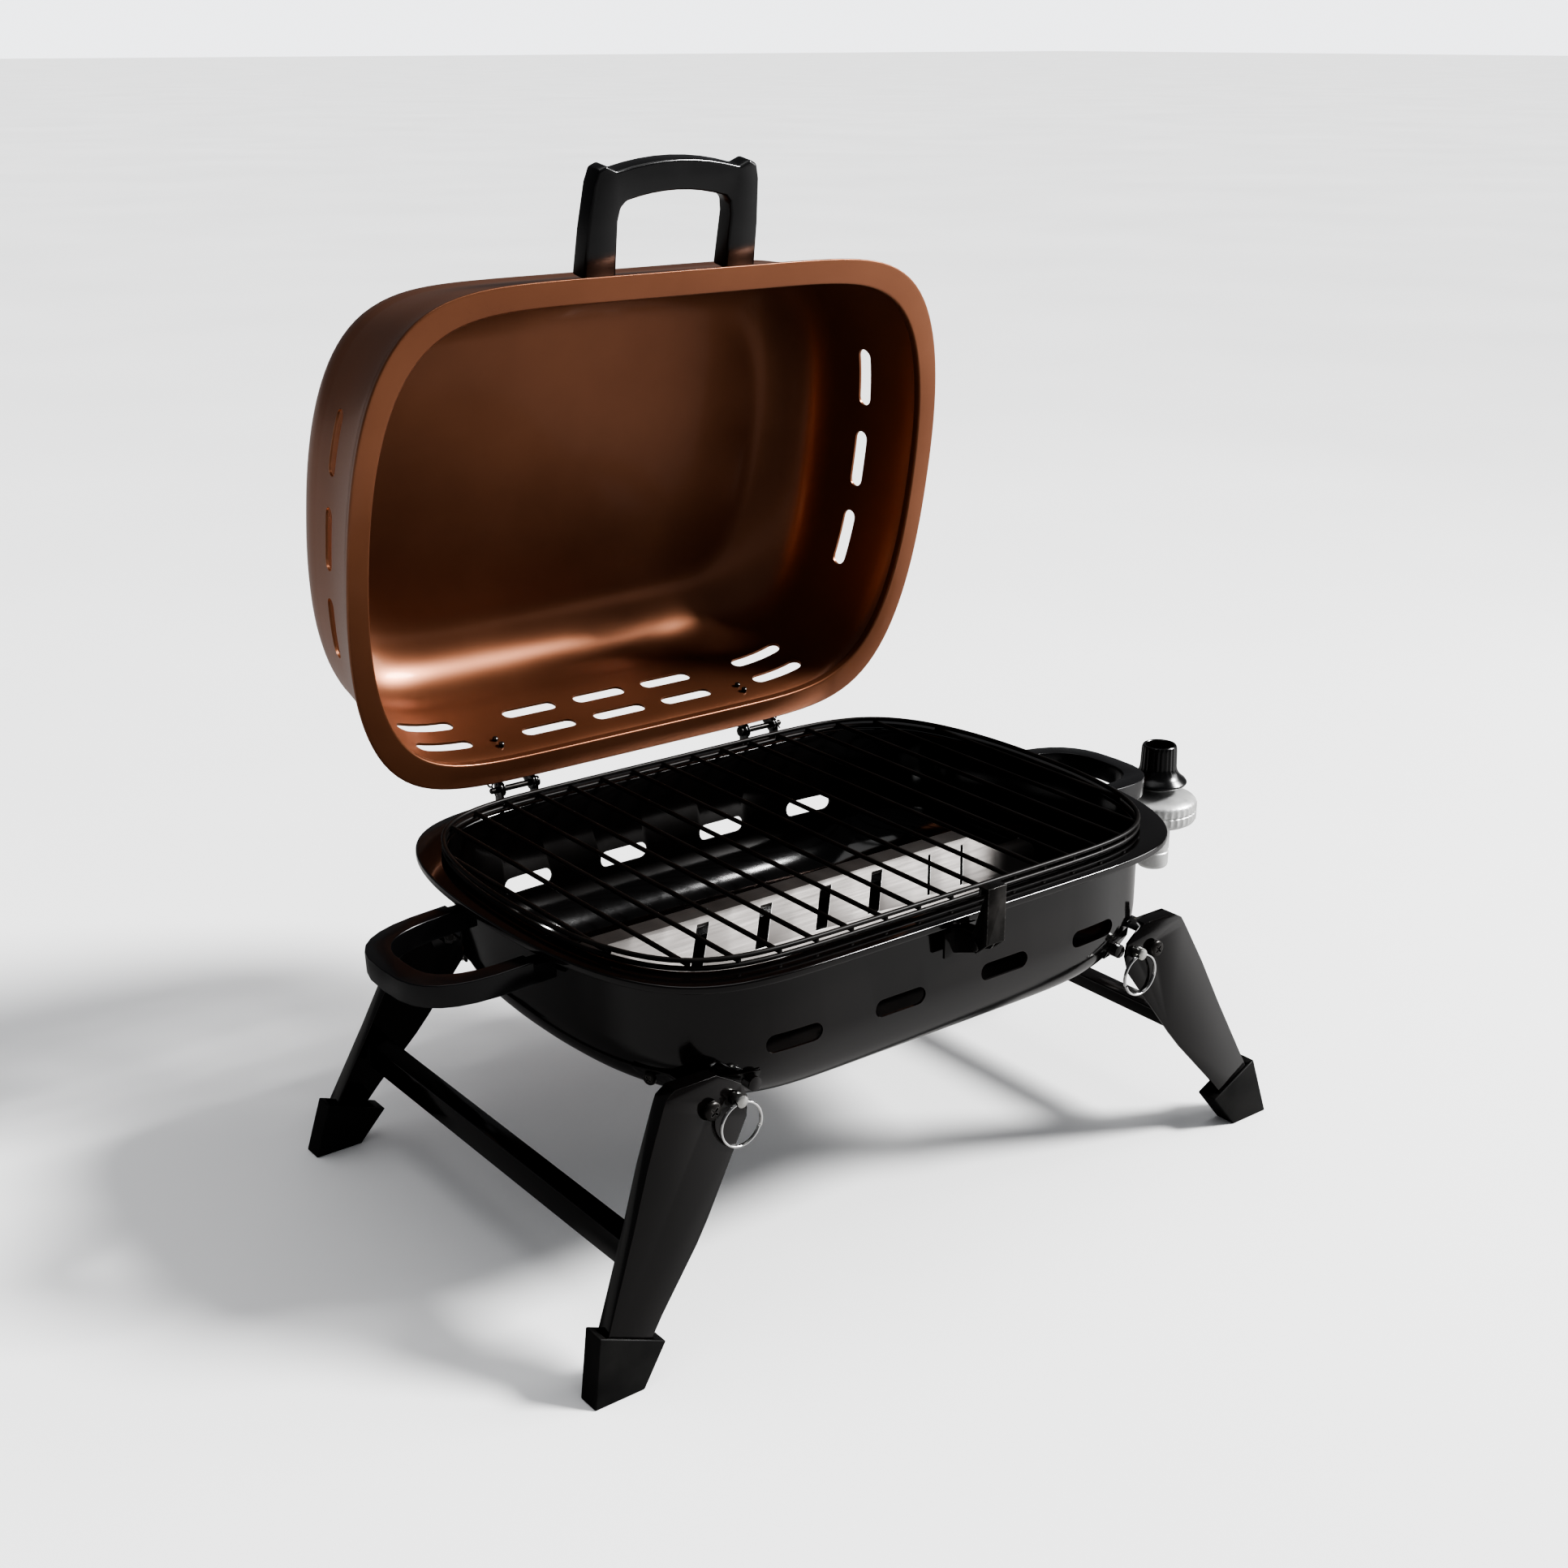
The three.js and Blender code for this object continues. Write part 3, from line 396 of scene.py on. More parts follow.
def finish_material(name, dark, light, rough, patch, grain, bump, metallic=0.0, stretch=(1, 1, 1),
                    coat=0.0, worn=None, wear=0.0, specular=0.5):
    """A finish with broad colour variation, uneven roughness, a fine surface grain and worn edges.

    patch and grain are the scales per metre of the broad and the fine noise, bump is the grain's
    height in millimetres, and worn is the colour that shows where edges have lost their finish.
    """
    made = bpy.data.materials.new(name)
    made.use_nodes = True
    tree = made.node_tree
    shader = tree.nodes["Principled BSDF"]
    broad = noise(tree, patch, 5.0)
    fine = noise(tree, grain, 3.0, stretch)
    color = ramp(tree, broad, 0.32, 0.68, dark, light)
    if worn:
        chipped = remap(tree, noise(tree, patch * 9, 6.0), 0.0, wear)
        color = mix(tree, product(tree, edge_mask(tree, EDGE_RADIUS), chipped), color, worn)
    tree.links.new(color, shader.inputs["Base Color"])
    blend = tree.nodes.new("ShaderNodeMix")
    blend.inputs["Factor"].default_value = GRAIN_SHARE
    tree.links.new(broad, blend.inputs["A"])
    tree.links.new(fine, blend.inputs["B"])
    tree.links.new(remap(tree, blend.outputs["Result"], *rough), shader.inputs["Roughness"])
    shader.inputs["Metallic"].default_value = metallic
    shader.inputs["Specular IOR Level"].default_value = specular
    shader.inputs["Coat Weight"].default_value = coat
    shader.inputs["Coat Roughness"].default_value = COAT_ROUGHNESS
    relief = tree.nodes.new("ShaderNodeBump")
    relief.inputs["Strength"].default_value = 1.0
    relief.inputs["Distance"].default_value = bump * MM
    tree.links.new(fine, relief.inputs["Height"])
    tree.links.new(relief.outputs["Normal"], shader.inputs["Normal"])
    return made


# The finishes, by the slot that each one fills.
MATERIALS = {
    "brown_enamel": finish_material(
        "copper_enamel", (0.19, 0.078, 0.042), (0.27, 0.118, 0.066), (0.27, 0.39), patch=5,
        grain=1600, bump=0.012, metallic=0.72, coat=0.12, worn=(0.55, 0.30, 0.17), wear=0.5),
    "black_enamel": finish_material(
        "black_enamel", (0.002, 0.0017, 0.0016), (0.005, 0.004, 0.0038), (0.07, 0.16), patch=9,
        grain=1300, bump=0.006, coat=0.2, worn=(0.05, 0.042, 0.038), wear=0.35),
    "grate_enamel": finish_material(
        "grate_enamel", (0.003, 0.0027, 0.0024), (0.012, 0.010, 0.009), (0.34, 0.50), patch=30,
        grain=2500, bump=0.02, worn=(0.06, 0.05, 0.045), wear=0.3, specular=0.22),
    "black_plastic": finish_material(
        "black_plastic", (0.003, 0.003, 0.0033), (0.007, 0.0067, 0.007), (0.16, 0.28), patch=22,
        grain=2600, bump=0.018, worn=(0.03, 0.03, 0.03), wear=0.4),
    "rubber": finish_material(
        "rubber", (0.004, 0.004, 0.004), (0.011, 0.0105, 0.010), (0.40, 0.60), patch=40,
        grain=1800, bump=0.05, worn=(0.035, 0.033, 0.03), wear=0.6, specular=0.2),
    "steel_wire": finish_material(
        "bright_wire", (0.70, 0.70, 0.70), (0.86, 0.86, 0.85), (0.07, 0.16), patch=60,
        grain=2200, bump=0.004, metallic=1.0),
    "black_steel": finish_material(
        "black_steel", (0.018, 0.017, 0.016), (0.045, 0.042, 0.040), (0.24, 0.42), patch=90,
        grain=2400, bump=0.01, metallic=0.8, worn=(0.35, 0.34, 0.33), wear=0.7),
    # The stainless colours are painted shade: much darker than bare stainless sheet, to hold down the key light's
    # glare on the heat tent and burner.
    "stainless_sheet": finish_material(
        "stainless", (0.055, 0.050, 0.047), (0.095, 0.088, 0.083), (0.36, 0.52), patch=12,
        grain=420, bump=0.012, metallic=0.6, stretch=(0.06, 1.6, 1.6), worn=(0.8, 0.8, 0.8),
        wear=0.6),
    "zinc_hardware": finish_material(
        "zinc", (0.42, 0.42, 0.40), (0.60, 0.60, 0.58), (0.24, 0.40), patch=120,
        grain=2600, bump=0.01, metallic=1.0),
    "cast_zinc": finish_material(
        "cast_zinc", (0.36, 0.36, 0.355), (0.52, 0.52, 0.51), (0.34, 0.50), patch=55,
        grain=2400, bump=0.05, metallic=0.55, worn=(0.78, 0.78, 0.76), wear=0.6),
    "brass": finish_material(
        "brass", (0.50, 0.33, 0.11), (0.68, 0.48, 0.20), (0.20, 0.36), patch=70,
        grain=2000, bump=0.012, metallic=1.0, worn=(0.8, 0.62, 0.32), wear=0.6),
}

# ---- Bowl ----
BOWL_LOW, BOWL_HIGH = box_mm("bowl")
CENTRE = Vector((BOWL_LOW.x + BOWL_HIGH.x, BOWL_LOW.y + BOWL_HIGH.y, 0)) / 2
TO_CENTRE = Matrix.Translation(CENTRE * MM)  # from the middle of the bowl's rim to the CAD origin
FLANGE_A, FLANGE_B, RIM = BOWL_HIGH.x - CENTRE.x, BOWL_HIGH.y - CENTRE.y, BOWL_HIGH.z
BOWL_BOTTOM = BOWL_LOW.z
SHEET = 1.6  # thickness of the pressed sheet
LIP = 4.6  # height of the flange's turned-down edge
BOWL_BEND = 165.0  # height where the wall starts to curve under, level with its air slots
INNER_A, INNER_B = FLANGE_A - 16.1, FLANGE_B - 18.2
WALL_A, WALL_FRONT, WALL_BACK = FLANGE_A - 18.5, FLANGE_B - 12.9, FLANGE_B - 26.8
CORNER_A, CORNER_B = 58.0, 35.0  # run of the lower corner at the ends and at the front and back
SLOT_XS = (-117.5, -41, 41, 117.5)
SLOT_LENGTH, SLOT_WIDTH, SLOT_DEPTH = 38, 11, 60
TUBE_HOLE_RADIUS, TUBE_HOLE_FROM, TUBE_HOLE_TO = 11.4, 150, 230


def bowl_under(offset, steps=14):
    """The lower corner and floor of the bowl, moved out by offset, from the wall to the middle."""
    rows = []
    for k in range(steps + 1):
        angle = math.pi / 2 * k / steps
        run, drop = 1 - math.cos(angle), math.sin(angle)
        out = offset * math.cos(angle)
        rows.append([
            WALL_A - CORNER_A * run + out, WALL_FRONT - CORNER_B * run + out,
            WALL_BACK - CORNER_B * run + out,
            BOWL_BEND - (BOWL_BEND - BOWL_BOTTOM + offset) * drop])
    rim_row = rows[-1]
    for share in (0.7, 0.35, 0.02):
        rows.append([rim_row[0] * share, rim_row[1] * share, rim_row[2] * share, rim_row[3]])
    return rows


def make_bowl():
    """The bowl: a pressed shell with a turned-down flange, air slots and the tube's hole."""
    inside = [[INNER_A, INNER_B, INNER_B, RIM]] + bowl_under(-SHEET)
    lip_in = [FLANGE_A - SHEET, FLANGE_B - SHEET, FLANGE_B - SHEET]
    outer = [FLANGE_A, FLANGE_B, FLANGE_B]
    top_wall = [INNER_A + SHEET, INNER_B + SHEET, INNER_B + SHEET, RIM - SHEET]
    flange = soften([
        inside[1], inside[0], [*outer, RIM], [*outer, RIM - LIP], [*lip_in, RIM - LIP],
        [*lip_in, RIM - SHEET], top_wall, bowl_under(0)[0]], 1.3)
    rows = list(reversed(inside[1:]))[:-1] + flange + bowl_under(0)[1:]
    shell = skin("bowl_shell", [outline_ring(row) for row in rows])
    cutters = [
        slot_prism(Vector((x, y, BOWL_BEND)), X_AXIS, Z_AXIS, Y_AXIS,
                   SLOT_LENGTH, SLOT_WIDTH, SLOT_DEPTH)
        for x in SLOT_XS for y in (-WALL_FRONT, WALL_BACK)]
    tube_low, tube_high = box_mm("burner_tube")
    tube_z = tube_high.z - (tube_high.y - tube_low.y) / 2
    hole = turned("hole", [
        (TUBE_HOLE_RADIUS, TUBE_HOLE_FROM), (TUBE_HOLE_RADIUS, TUBE_HOLE_TO)],
        Vector((0, 0, tube_z)) * MM, X_AXIS)
    shell = carve(shell, [*cutters, hole])
    shell.data.transform(TO_CENTRE)
    place(shell, "bowl", "black_enamel")


# ---- Lid ----
LID_A, LID_B = FLANGE_A + 3.1, FLANGE_B + 2.1
MOUTH_A, MOUTH_B = LID_A - 14.2, LID_B - 16.1
LID_RIM = RIM + 0.4  # height of the rim when the lid is shut
LID_TOP_START, LID_CORNER, LID_RETURN = 82.0, 50.0, 6.0
LID_INSETS = (  # depth, then how far in the wall is at the ends, the front and the back
    (4, 0.4, 0.7, 1.2), (20, 7.6, 8.5, 10.4), (50, 14.6, 14.6, 11.9), (LID_TOP_START, 18, 23, 14))
LID_SLOT_LENGTH, LID_SLOT_WIDTH = 42, 11
LID_END_SLOT_YS, LID_END_SLOT_DEPTH, LID_END_SLOT_INSET = (-61, 1, 62), 57, 15
LID_BACK_SLOT_XS, LID_BACK_SLOT_DEPTHS = (-139, -57.5, 0, 57.5, 139), (35, 62)
LID_BACK_SLOT_INSET, LID_BACK_SLOT_REACH = 12, 46


def lid_outside(offset, start, steps=14):
    """The lid as if shut, moved out by offset, from its rim to the middle of its top."""
    rows = [[LID_A + offset, LID_B + offset, LID_B + offset, LID_RIM + start]]
    for depth, end, front, back in LID_INSETS:
        rows.append([
            LID_A - end + offset, LID_B - front + offset, LID_B - back + offset, LID_RIM + depth])
    rows = flowing(rows)
    _, *insets = LID_INSETS[-1]
    end, front, back = LID_A - insets[0], LID_B - insets[1], LID_B - insets[2]
    for k in range(1, steps + 1):
        angle = math.pi / 2 * k / steps
        run, out = LID_CORNER * (1 - math.cos(angle)), offset * math.cos(angle)
        rows.append([
            end - run + out, front - run * 1.1 + out, back - run + out,
            LID_RIM + LID_TOP_START + (LID_CORNER + offset) * math.sin(angle)])
    edge = rows[-1]
    for share, crown in ((0.8, 0.3), (0.55, 0.7), (0.3, 1.0), (0.02, 1.1)):
        rows.append([edge[0] * share, edge[1] * share, edge[2] * share, edge[3] + crown])
    return rows


def make_lid():
    """The lid: a pressed shell with its rim turned in and air slots in its ends and back."""
    inside, outside = lid_outside(-SHEET, SHEET), lid_outside(0, 0)
    mouth = [MOUTH_A, MOUTH_B, MOUTH_B]
    mouth_out = [value + SHEET for value in mouth]
    rim = soften([
        inside[1], inside[0], [*mouth_out, LID_RIM + SHEET], [*mouth_out, LID_RIM + LID_RETURN],
        [*mouth, LID_RIM + LID_RETURN], [*mouth, LID_RIM], outside[0], outside[2]], 1.4)
    rows = list(reversed(inside[1:]))[:-1] + rim + outside[3:]
    shell = skin("lid_shell", [outline_ring(row) for row in rows])
    cutters = []
    for y in LID_END_SLOT_YS:
        for x in (LID_END_SLOT_INSET - LID_A, LID_A - LID_END_SLOT_INSET):
            cutters.append(slot_prism(
                Vector((x, y, LID_RIM + LID_END_SLOT_DEPTH)), Y_AXIS, Z_AXIS, X_AXIS,
                LID_SLOT_LENGTH, LID_SLOT_WIDTH, SLOT_DEPTH))
    for depth in LID_BACK_SLOT_DEPTHS:
        for x in LID_BACK_SLOT_XS:
            cutters.append(slot_prism(
                Vector((x, LID_B - LID_BACK_SLOT_INSET, LID_RIM + depth)), X_AXIS, Z_AXIS, Y_AXIS,
                LID_SLOT_LENGTH, LID_SLOT_WIDTH, LID_BACK_SLOT_REACH))
    shell = carve(shell, cutters)
    shell.data.transform(OPENING @ TO_CENTRE)
    place(shell, "lid", "brown_enamel")


make_bowl()
make_lid()

# ---- Grate ----
WIRE = 1.5  # radius of the grate's wires
GRATE_PITCH, BARS_EACH_SIDE = 25.0, 8


def make_grate():
    """The grate: two outline rings and the bars between them."""
    low, high = box_mm("cooking_grate")
    a, b = (high.x - low.x) / 2 - WIRE, (high.y - low.y) / 2 - WIRE
    parts = []
    for z in (low.z + WIRE, high.z - WIRE):
        path = outline_ring((a, b, b, z))
        parts.append(skin("ring", tube_rings(path, WIRE * MM, 12, closed=True), closed=True))
    for n in range(-BARS_EACH_SIDE, BARS_EACH_SIDE + 1):
        x, z = n * GRATE_PITCH, (low.z + high.z) / 2
        reach = b * (1 - abs(x / a) ** OUTLINE_P) ** (1 / OUTLINE_Q) + WIRE * 0.6
        length = 2 * reach
        profile = [
            (0, 0), (WIRE * 0.7, 0.15), (WIRE, 0.8), (WIRE, length - 0.8),
            (WIRE * 0.7, length - 0.15), (0, length)]
        parts.append(turned("bar", profile, Vector((x, -reach, z)) * MM, Y_AXIS, 14))
    grate = join("grate_wires", parts)
    grate.data.transform(TO_CENTRE)
    place(grate, "cooking_grate", "grate_enamel")


# ---- Burner and regulator ----
TUBE_WALL = 1.5
PORTS, PORT_START, PORT_PITCH, PORT_HEIGHT = 12, 36, 22, 3.7  # from the tube's closed end and axis
PORT_LENGTH, PORT_WIDTH = 14, 1.4
AIR_HOLES_FROM_END, AIR_HOLE_HEIGHT, AIR_HOLE_WIDTH = (47, 25), 8, 6
TUBE_CUT = 40  # longer than the tube is wide
FOOT_FROM_START = 16


def make_burner():
    """The burner tube with its ports and air holes, and the foot that it stands on."""
    low, high = box_mm("burner_tube")
    radius = (high.y - low.y) / 2
    length = high.x - low.x
    start = Vector((low.x, (low.y + high.y) / 2, high.z - radius))
    profile = [
        (0, 0), (radius - 1.4, 0), (radius - 0.4, 0.5), (radius, 1.6), (radius, length - 0.5),
        (radius - 0.5, length), (radius - 1.1, length), (radius - TUBE_WALL, length - 0.5),
        (radius - TUBE_WALL, 2), (0, 2)]
    tube = turned("burner", profile, start * MM, X_AXIS, 56)
    cutters = []
    for n in range(PORTS):
        port_at = start + Vector((PORT_START + PORT_PITCH * n, 0, PORT_HEIGHT))
        cutters.append(slot_prism(
            port_at, X_AXIS, Z_AXIS, Y_AXIS, PORT_LENGTH, PORT_WIDTH, TUBE_CUT))
    for from_end in AIR_HOLES_FROM_END:
        hole_at = start + Vector((length - from_end, 0, 0))
        cutters.append(slot_prism(
            hole_at, Z_AXIS, X_AXIS, Y_AXIS, AIR_HOLE_HEIGHT, AIR_HOLE_WIDTH, TUBE_CUT))
    tube = carve(tube, cutters)
    foot_at, foot_base, foot_top = start.x + FOOT_FROM_START, low.z, start.z - radius + 0.4
    rings = []
    for z, half_x, half_y in (
            (foot_base, 12, 11), (foot_base + 0.9, 12, 11), (foot_base + 1.3, 8, 9),
            (foot_top - 2, 7.4, 8.4), (foot_top, 8.2, 9)):
        rings.append([
            Vector((foot_at + half_x * u, start.y + half_y * v, z)) * MM for u, v in UNIT])
    burner = join("burner_skin", [tube, skin("burner_foot", rings)])
    place(burner, "burner_tube", "stainless_sheet")


INLET_HEIGHT = 153  # height of the regulator's boss and outlet


def ribbed(along, angle):
    """Ribs round the regulator's widest part."""
    return 0.012 * math.cos(36 * angle) if 147 < along < 161 else 0


def fluted(along, angle):
    """Grip flutes round the knob's stem."""
    return -0.03 * (0.5 + 0.5 * math.cos(24 * angle)) if 184 < along < 202 else 0


def make_regulator():
    """The regulator's casting, its knob and its outlet. Profiles are in heights above the table."""
    low, high = box_mm("regulator_body")
    axis = Vector(((low.x + high.x) / 2, (low.y + high.y) / 2, 0)) * MM
    body = turned("regulator_skin", [
        (0, 108.2), (9.4, 108), (10.4, 108.5), (11.2, 109.6), (11.5, 111), (11.5, 120),
        (10.9, 120.6), (10.9, 122.4), (11.5, 123), (11.5, 137), (12.4, 139.6), (15, 142),
        (20, 143.4), (26, 144.8), (28.4, 146.2), (29.3, 148), (29.5, 150), (29.5, 153.6),
        (28.9, 154.1), (28.9, 155), (29.5, 155.5), (29.5, 159.4), (29, 161.2), (27.6, 162.7),
        (24, 164.4), (20, 166), (15.4, 167.4), (10.8, 168.3), (9.8, 169), (9.5, 170.4),
        (9.5, 172), (0, 172.3)], axis, Z_AXIS, 144, ribbed)
    boss = turned("boss", [
        (0, -34), (8, -34), (9, -33), (9, -22), (8.6, -10), (8.6, -8), (0, -8)],
        axis + Vector((0, 0, INLET_HEIGHT)) * MM, X_AXIS, 40)
    place(join("regulator_casting", [body, boss]), "regulator_body", "cast_zinc")

    knob = turned("knob_skin", [
        (0, 173.1), (18, 173), (20.4, 173.5), (21.3, 174.6), (21.2, 175.6), (20, 177.1),
        (17.6, 178.9), (15.6, 181), (14.2, 183.4), (13.6, 185.6), (13.4, 187), (13.2, 192),
        (13, 199), (12.8, 201), (12.3, 202.4), (11.7, 203), (10.8, 203), (10.3, 202.5),
        (9.9, 199), (9.6, 195), (9.2, 194.2), (0, 194)], axis, Z_AXIS, 144, fluted)
    pointer = slot_prism(
        axis / MM + Vector((17.4, 0, 177.4)), X_AXIS, Y_AXIS, Z_AXIS, length=6, width=1.4, depth=6)
    place(join("knob_piece", [knob, pointer]), "regulator_knob", "black_plastic")

    low, high = box_mm("regulator_outlet")
    start = Vector((low.x, axis.y / MM, INLET_HEIGHT)) * MM
    spigot = turned("spigot", [
        (0, 0.3), (4.2, 0), (4.8, 0.6), (5, 1.4), (5, 8.6), (4.4, 9.4), (4.4, 16.4), (5, 17),
        (5, 31), (0, 31.4)], start, X_AXIS, 48)
    nut = turned("nut", [
        (0, 9.7), (7.6, 9.6), (8.9, 10.4), (8.9, 15), (7.6, 15.9), (0, 15.8)],
        start + Vector((0, 0, -1.5)) * MM, X_AXIS, 6)
    place(join("outlet_skin", [spigot, nut]), "regulator_outlet", "brass")


# ---- Fasteners ----
BRACKET_SCREW_HEIGHT = 144.4
RING_RADIUS, RING_WIRE = 13.5, 0.8
RING_TURNS, RING_PITCH, RING_STEPS = 2.0, 1.5, 144
CLIP_LOOP, CLIP_LOOP_HEIGHT, CLIP_WIRE, CLIP_STEPS = 4, 7.4, 0.6, 39


def cross_recess(top, direction, reach):
    """Two crossed wedges, for the recess in a screw head."""
    axis = Vector(direction).normalized()
    u = axis.orthogonal().normalized()
    v = axis.cross(u)
    return [
        slot_prism(top / MM, along, across, axis, 2 * reach, reach * 0.42, 2.2)
        for along, across in ((u, v), (v, u))]


def screw(name, top, inward, head, height, shank, length):
    """A pan-head screw seen from its top, with a cross recess."""
    made = turned(name, [
        (0, 0), (head * 0.45, 0.06), (head * 0.75, height * 0.12), (head * 0.93, height * 0.34),
        (head, height * 0.62), (head, height - 0.25), (head - 0.3, height), (shank, height),
        (shank, length - 0.5), (shank - 0.5, length), (0, length)], top, inward, 40)
    # One wedge at a time: cutters that cross each other would leave an empty mesh.
    for wedge in cross_recess(top, inward, head * 0.52):
        made = carve(made, [wedge])
    return made


def outer_end(node, end):
    """The outer end of a pin that lies along y, in metres, and its length in millimetres."""
    low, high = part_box(node)
    centre = (low + high) / 2
    return Vector((centre.x, low.y if end < 0 else high.y, centre.z)), (high.y - low.y) / MM


def outward_normal(x, y):
    """The bowl wall's level outward normal at a bracket screw, from the screw's place in plan."""
    drop = (BOWL_BEND - BRACKET_SCREW_HEIGHT) / (BOWL_BEND - BOWL_BOTTOM)
    run = 1 - math.cos(math.asin(drop))
    a = WALL_A - CORNER_A * run
    b = (WALL_FRONT if y < 0 else WALL_BACK) - CORNER_B * run
    u = math.copysign(OUTLINE_P / a * abs(x / a) ** (OUTLINE_P - 1), x)
    v = math.copysign(OUTLINE_Q / b * abs(y / b) ** (OUTLINE_Q - 1), y)
    return Vector((u, v, 0)).normalized()


def make_corner(corner, side, end):
    """The fasteners, lock pin and pull ring of one leg. side and end are -1 or 1."""
    inward = Vector((0, -end, 0))

    node = "pivot_bolt_" + corner
    top, length = outer_end(node, end)
    bolt = screw("bolt", top, inward, 5.8, 3.1, 2.9, length)
    nut = turned("nut", [
        (0, length - 5), (4.6, length - 5), (5, length - 4.5), (5, length - 1.5),
        (4.6, length - 1), (0, length - 1)], top, inward, 6)
    place(join("pivot_bolt_skin", [bolt, nut]), node, "black_steel")

    node = "bracket_screw_" + corner
    centre = middle(node)
    plan = centre / MM - CENTRE
    normal = outward_normal(plan.x, plan.y)
    outermost = max((v.co - centre).dot(normal) for v in frame["nodes"][node].data.vertices)
    top = centre + outermost * normal
    place(screw("bracket_screw_skin", top, -normal, 4.2, 2.5, 1.9, 4.2), node, "black_steel")

    node = "lock_pin_" + corner
    top, length = outer_end(node, end)
    pin = turned("lock_pin_skin", [
        (0, 0), (2.6, 0.1), (3.6, 0.6), (4, 1.4), (4, 5.8), (3.7, 6.6), (2.4, 7),
        (2.4, length - 0.7), (1.8, length), (0, length)], top, inward, 36)
    ring_at = middle("pull_ring_" + corner)
    eye_at = Vector((top.x, ring_at.y, ring_at.z + RING_RADIUS * MM))
    eye = turned("eye", [(1.9, -8), (1.9, 8)], eye_at, X_AXIS, 20)
    place(carve(pin, [eye]), node, "zinc_hardware")

    first_angle = math.radians(200 if side > 0 else -20)
    path = []
    for k in range(RING_STEPS + 1):
        share = k / RING_STEPS
        angle = 2 * math.pi * RING_TURNS * share + first_angle
        path.append(ring_at + Vector((
            RING_RADIUS * math.cos(angle), (share - 0.5) * RING_PITCH,
            RING_RADIUS * math.sin(angle))) * MM)
    ring = skin("pull_ring_skin", tube_rings(path, RING_WIRE * MM, 12))
    place(ring, "pull_ring_" + corner, "steel_wire")


def make_hinge_hardware(side_name, side):
    """The pin, clip and screws of one hinge. side is -1 or 1."""
    node = "hinge_pin_" + side_name
    low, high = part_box(node)
    length = (high.x - low.x) / MM
    head_end = Vector((low.x if side > 0 else high.x, HINGE.y, HINGE.z))
    pin = turned("hinge_pin_skin", [
        (0, 0), (2.6, 0.05), (3.4, 0.5), (3.6, 1), (3.6, 1.7), (3.3, 2), (2, 2),
        (2, length - 0.7), (1.4, length), (0, length)], head_end, (side, 0, 0), 36)
    place(pin, node, "black_steel")

    node = "hinge_clip_" + side_name
    tip = Matrix.Rotation(math.radians(-45), 4, "X")
    path = [Vector((0, 0, z)) for z in (-4.5, -2, 1, 3)]
    for k in range(CLIP_STEPS + 1):
        angle = math.radians(-90 + 340 * k / CLIP_STEPS)
        path.append(Vector((
            0, CLIP_LOOP * math.cos(angle), CLIP_LOOP_HEIGHT + CLIP_LOOP * math.sin(angle))))
    clip_at = Vector((middle(node).x, HINGE.y, HINGE.z))
    path = [clip_at + (tip @ point) * MM for point in path]
    place(skin("hinge_clip_skin", tube_rings(path, CLIP_WIRE * MM, 12)), node, "black_steel")

    outward = OPENING.to_3x3() @ Y_AXIS
    for level in ("lower", "upper"):
        node = f"hinge_screw_{side_name}_{level}"
        centre = middle(node)
        along = [(v.co - centre).dot(outward) for v in frame["nodes"][node].data.vertices]
        top, length = centre + max(along) * outward, (max(along) - min(along)) / MM
        made = screw("hinge_screw_skin", top, -outward, 3.6, 2.1, 1.9, length)
        place(made, node, "black_steel")


def make_latch_pin():
    """The latch's pivot, a pin with a head at both ends."""
    low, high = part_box("latch_pin")
    length = (high.x - low.x) / MM
    radius = (high.y - low.y) / 2 / MM
    start = Vector((low.x, (low.y + high.y) / 2, (low.z + high.z) / 2))
    pin = turned("latch_pin_skin", [
        (0, 0), (radius * 0.6, 0.1), (radius, 0.6), (radius, 1.5), (1.8, 1.7), (1.8, length - 1.7),
        (radius, length - 1.5), (radius, length - 0.6), (radius * 0.6, length - 0.1), (0, length)],
        start, X_AXIS, 32)
    place(pin, "latch_pin", "black_steel")


def make_formed_pieces():
    """Folded and moulded pieces: their own shape with its edges rounded over."""
    refined("lid_handle", "black_plastic", 1.8, 4)
    refined("heat_tent", "stainless_sheet", 0.3, 2)
    refined("latch_lever", "black_steel", 0.4, 3)
    refined("latch_bracket", "black_enamel", 0.4, 3)
    for side, _ in SIDES:
        refined("side_handle_" + side, "black_plastic", 2.4, 4)
        refined("crossbar_" + side, "black_enamel", 0.6, 3)
        refined("hinge_leaf_" + side, "black_enamel", 0.4, 3)
        refined("hinge_bracket_" + side, "black_enamel", 0.4, 3)
    for corner, _, _ in CORNERS:
        refined("leg_" + corner, "black_enamel", 0.7, 3)
        refined("leg_bracket_" + corner, "black_enamel", 0.4, 2)
        refined("foot_" + corner, "rubber", 1.4, 4)


make_grate()
make_burner()
make_regulator()
make_formed_pieces()
make_latch_pin()
for corner, side, end in CORNERS:
    make_corner(corner, side, end)
for side_name, side in SIDES:
    make_hinge_hardware(side_name, side)

# ---- Stage, camera and light ----
CAMERA_AT = Vector((-0.7581, -0.9727, 0.6930)) + CENTRE * MM
CAMERA_YAW, CAMERA_PITCH, CAMERA_LENS = 37.6, 19.9, 47.7
FLOOR_REACH = 60.0  # metres from the middle to each edge
FLOOR_IN_REFLECTIONS = (0.26, 0.255, 0.25)
SUN_STRENGTH, SUN_DEG, SUN_ALONG = 5.6, 14, (-1.5, 0.95, -1.45)
LAMPS_AIM = (0, 0, 0.22)
SKY_LIGHT, SKY_IN_REFLECTIONS, SKY_IN_VIEW = 0.42, 0.13, 1.75


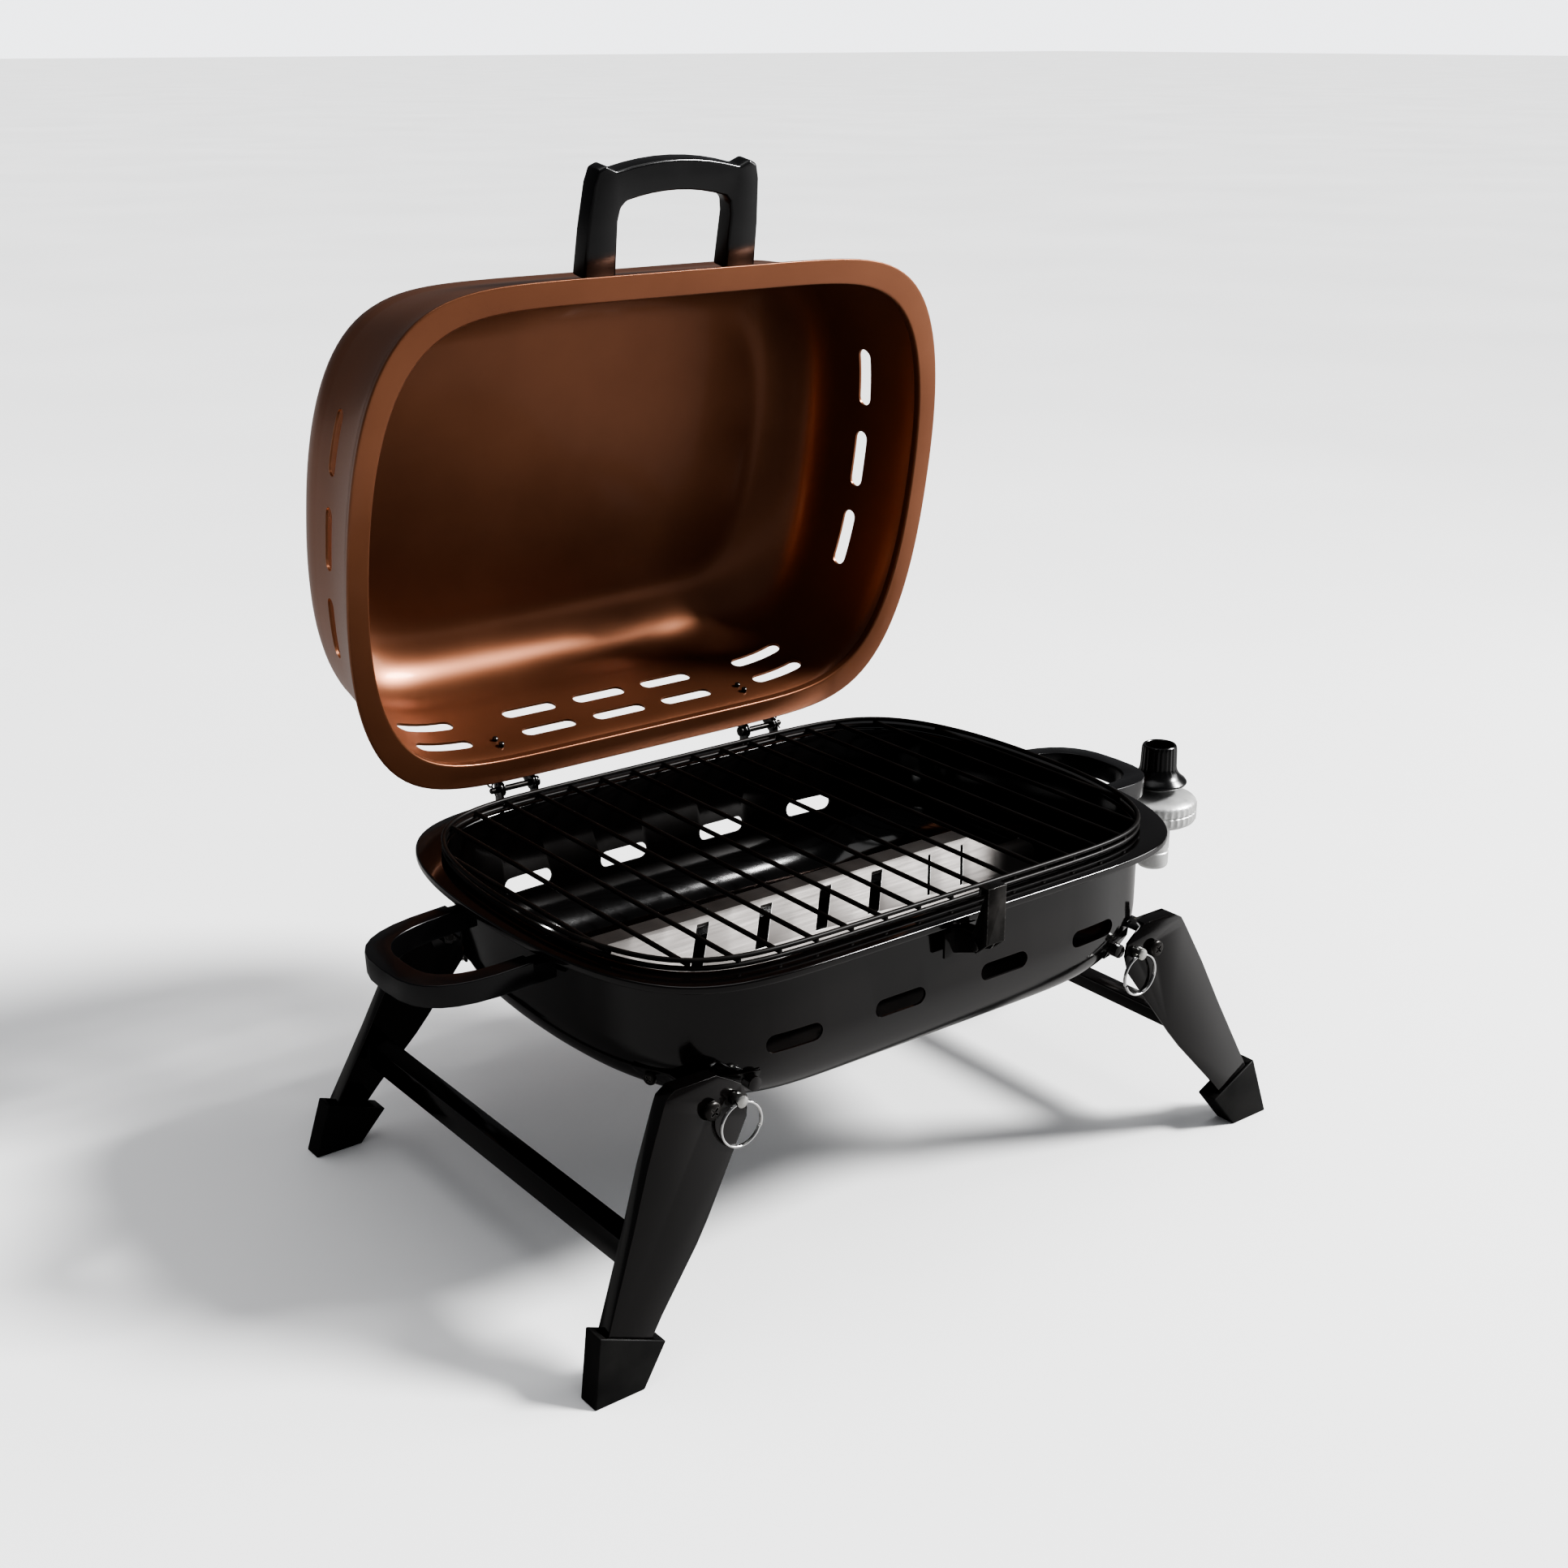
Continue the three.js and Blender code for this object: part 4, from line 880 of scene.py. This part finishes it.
def make_stage():
    """A pale floor. In reflections it is dimmer, as if the lamps lit only what the camera sees."""
    bm = bmesh.new()
    bmesh.ops.create_grid(bm, x_segments=8, y_segments=8, size=FLOOR_REACH)
    floor = object_from(bm, "floor")
    look = finish_material(
        "floor_paint", (0.88, 0.88, 0.875), (0.91, 0.91, 0.905), (0.5, 0.62), patch=1.2,
        grain=260, bump=0.02)
    tree = look.node_tree
    color_in = tree.nodes["Principled BSDF"].inputs["Base Color"]
    plain = color_in.links[0].from_socket
    rays = tree.nodes.new("ShaderNodeLightPath")
    seen = mix(tree, rays.outputs["Is Glossy Ray"], plain, FLOOR_IN_REFLECTIONS)
    tree.links.new(seen, color_in)
    floor.data.materials.append(look)


def make_camera():
    """The photograph's viewpoint."""
    data = bpy.data.cameras.new("camera")
    data.lens, data.sensor_width, data.clip_start = CAMERA_LENS, 36.0, 0.01
    camera = bpy.data.objects.new("camera", data)
    camera.location = CAMERA_AT
    camera.rotation_euler = (math.radians(90 - CAMERA_PITCH), 0, math.radians(-CAMERA_YAW))
    bpy.context.scene.collection.objects.link(camera)
    bpy.context.scene.camera = camera


def softbox(name, lamp_at, size, watts):
    """A rectangular lamp aimed at the grill. Position and size are in metres."""
    data = bpy.data.lights.new(name, "AREA")
    data.shape, data.size, data.size_y, data.energy = "RECTANGLE", size[0], size[1], watts
    lamp = bpy.data.objects.new(name, data)
    lamp.location = lamp_at
    aim = Vector(LAMPS_AIM) - Vector(lamp_at)
    lamp.rotation_euler = aim.to_track_quat("-Z", "Y").to_euler()
    bpy.context.scene.collection.objects.link(lamp)


def make_light():
    """A soft key light, two softboxes and a pale backdrop.

    The backdrop is seen brighter than the light it gives, and is dim in reflections, like dark
    flags.
    """
    data = bpy.data.lights.new("key", "SUN")
    data.energy, data.angle = SUN_STRENGTH, math.radians(SUN_DEG)
    key = bpy.data.objects.new("key", data)
    key.rotation_euler = Vector(SUN_ALONG).to_track_quat("-Z", "Y").to_euler()
    bpy.context.scene.collection.objects.link(key)
    softbox("side", (1.9, -0.9, 1.1), (0.9, 1.2), 22)
    softbox("overhead", (0.1, 0.2, 2.6), (1.8, 1.8), 14)
    world = bpy.data.worlds.new("studio")
    world.use_nodes = True
    tree = world.node_tree
    sky = tree.nodes["Background"]
    sky.inputs["Color"].default_value = (0.95, 0.965, 1.0, 1)
    rays = tree.nodes.new("ShaderNodeLightPath")
    reflected, seen = tree.nodes.new("ShaderNodeMix"), tree.nodes.new("ShaderNodeMix")
    tree.links.new(rays.outputs["Is Glossy Ray"], reflected.inputs["Factor"])
    reflected.inputs["A"].default_value = SKY_LIGHT
    reflected.inputs["B"].default_value = SKY_IN_REFLECTIONS
    tree.links.new(rays.outputs["Is Camera Ray"], seen.inputs["Factor"])
    tree.links.new(reflected.outputs["Result"], seen.inputs["A"])
    seen.inputs["B"].default_value = SKY_IN_VIEW
    tree.links.new(seen.outputs["Result"], sky.inputs["Strength"])
    bpy.context.scene.world = world
    bpy.context.scene.view_settings.look = "AgX - High Contrast"


make_stage()
make_camera()
make_light()
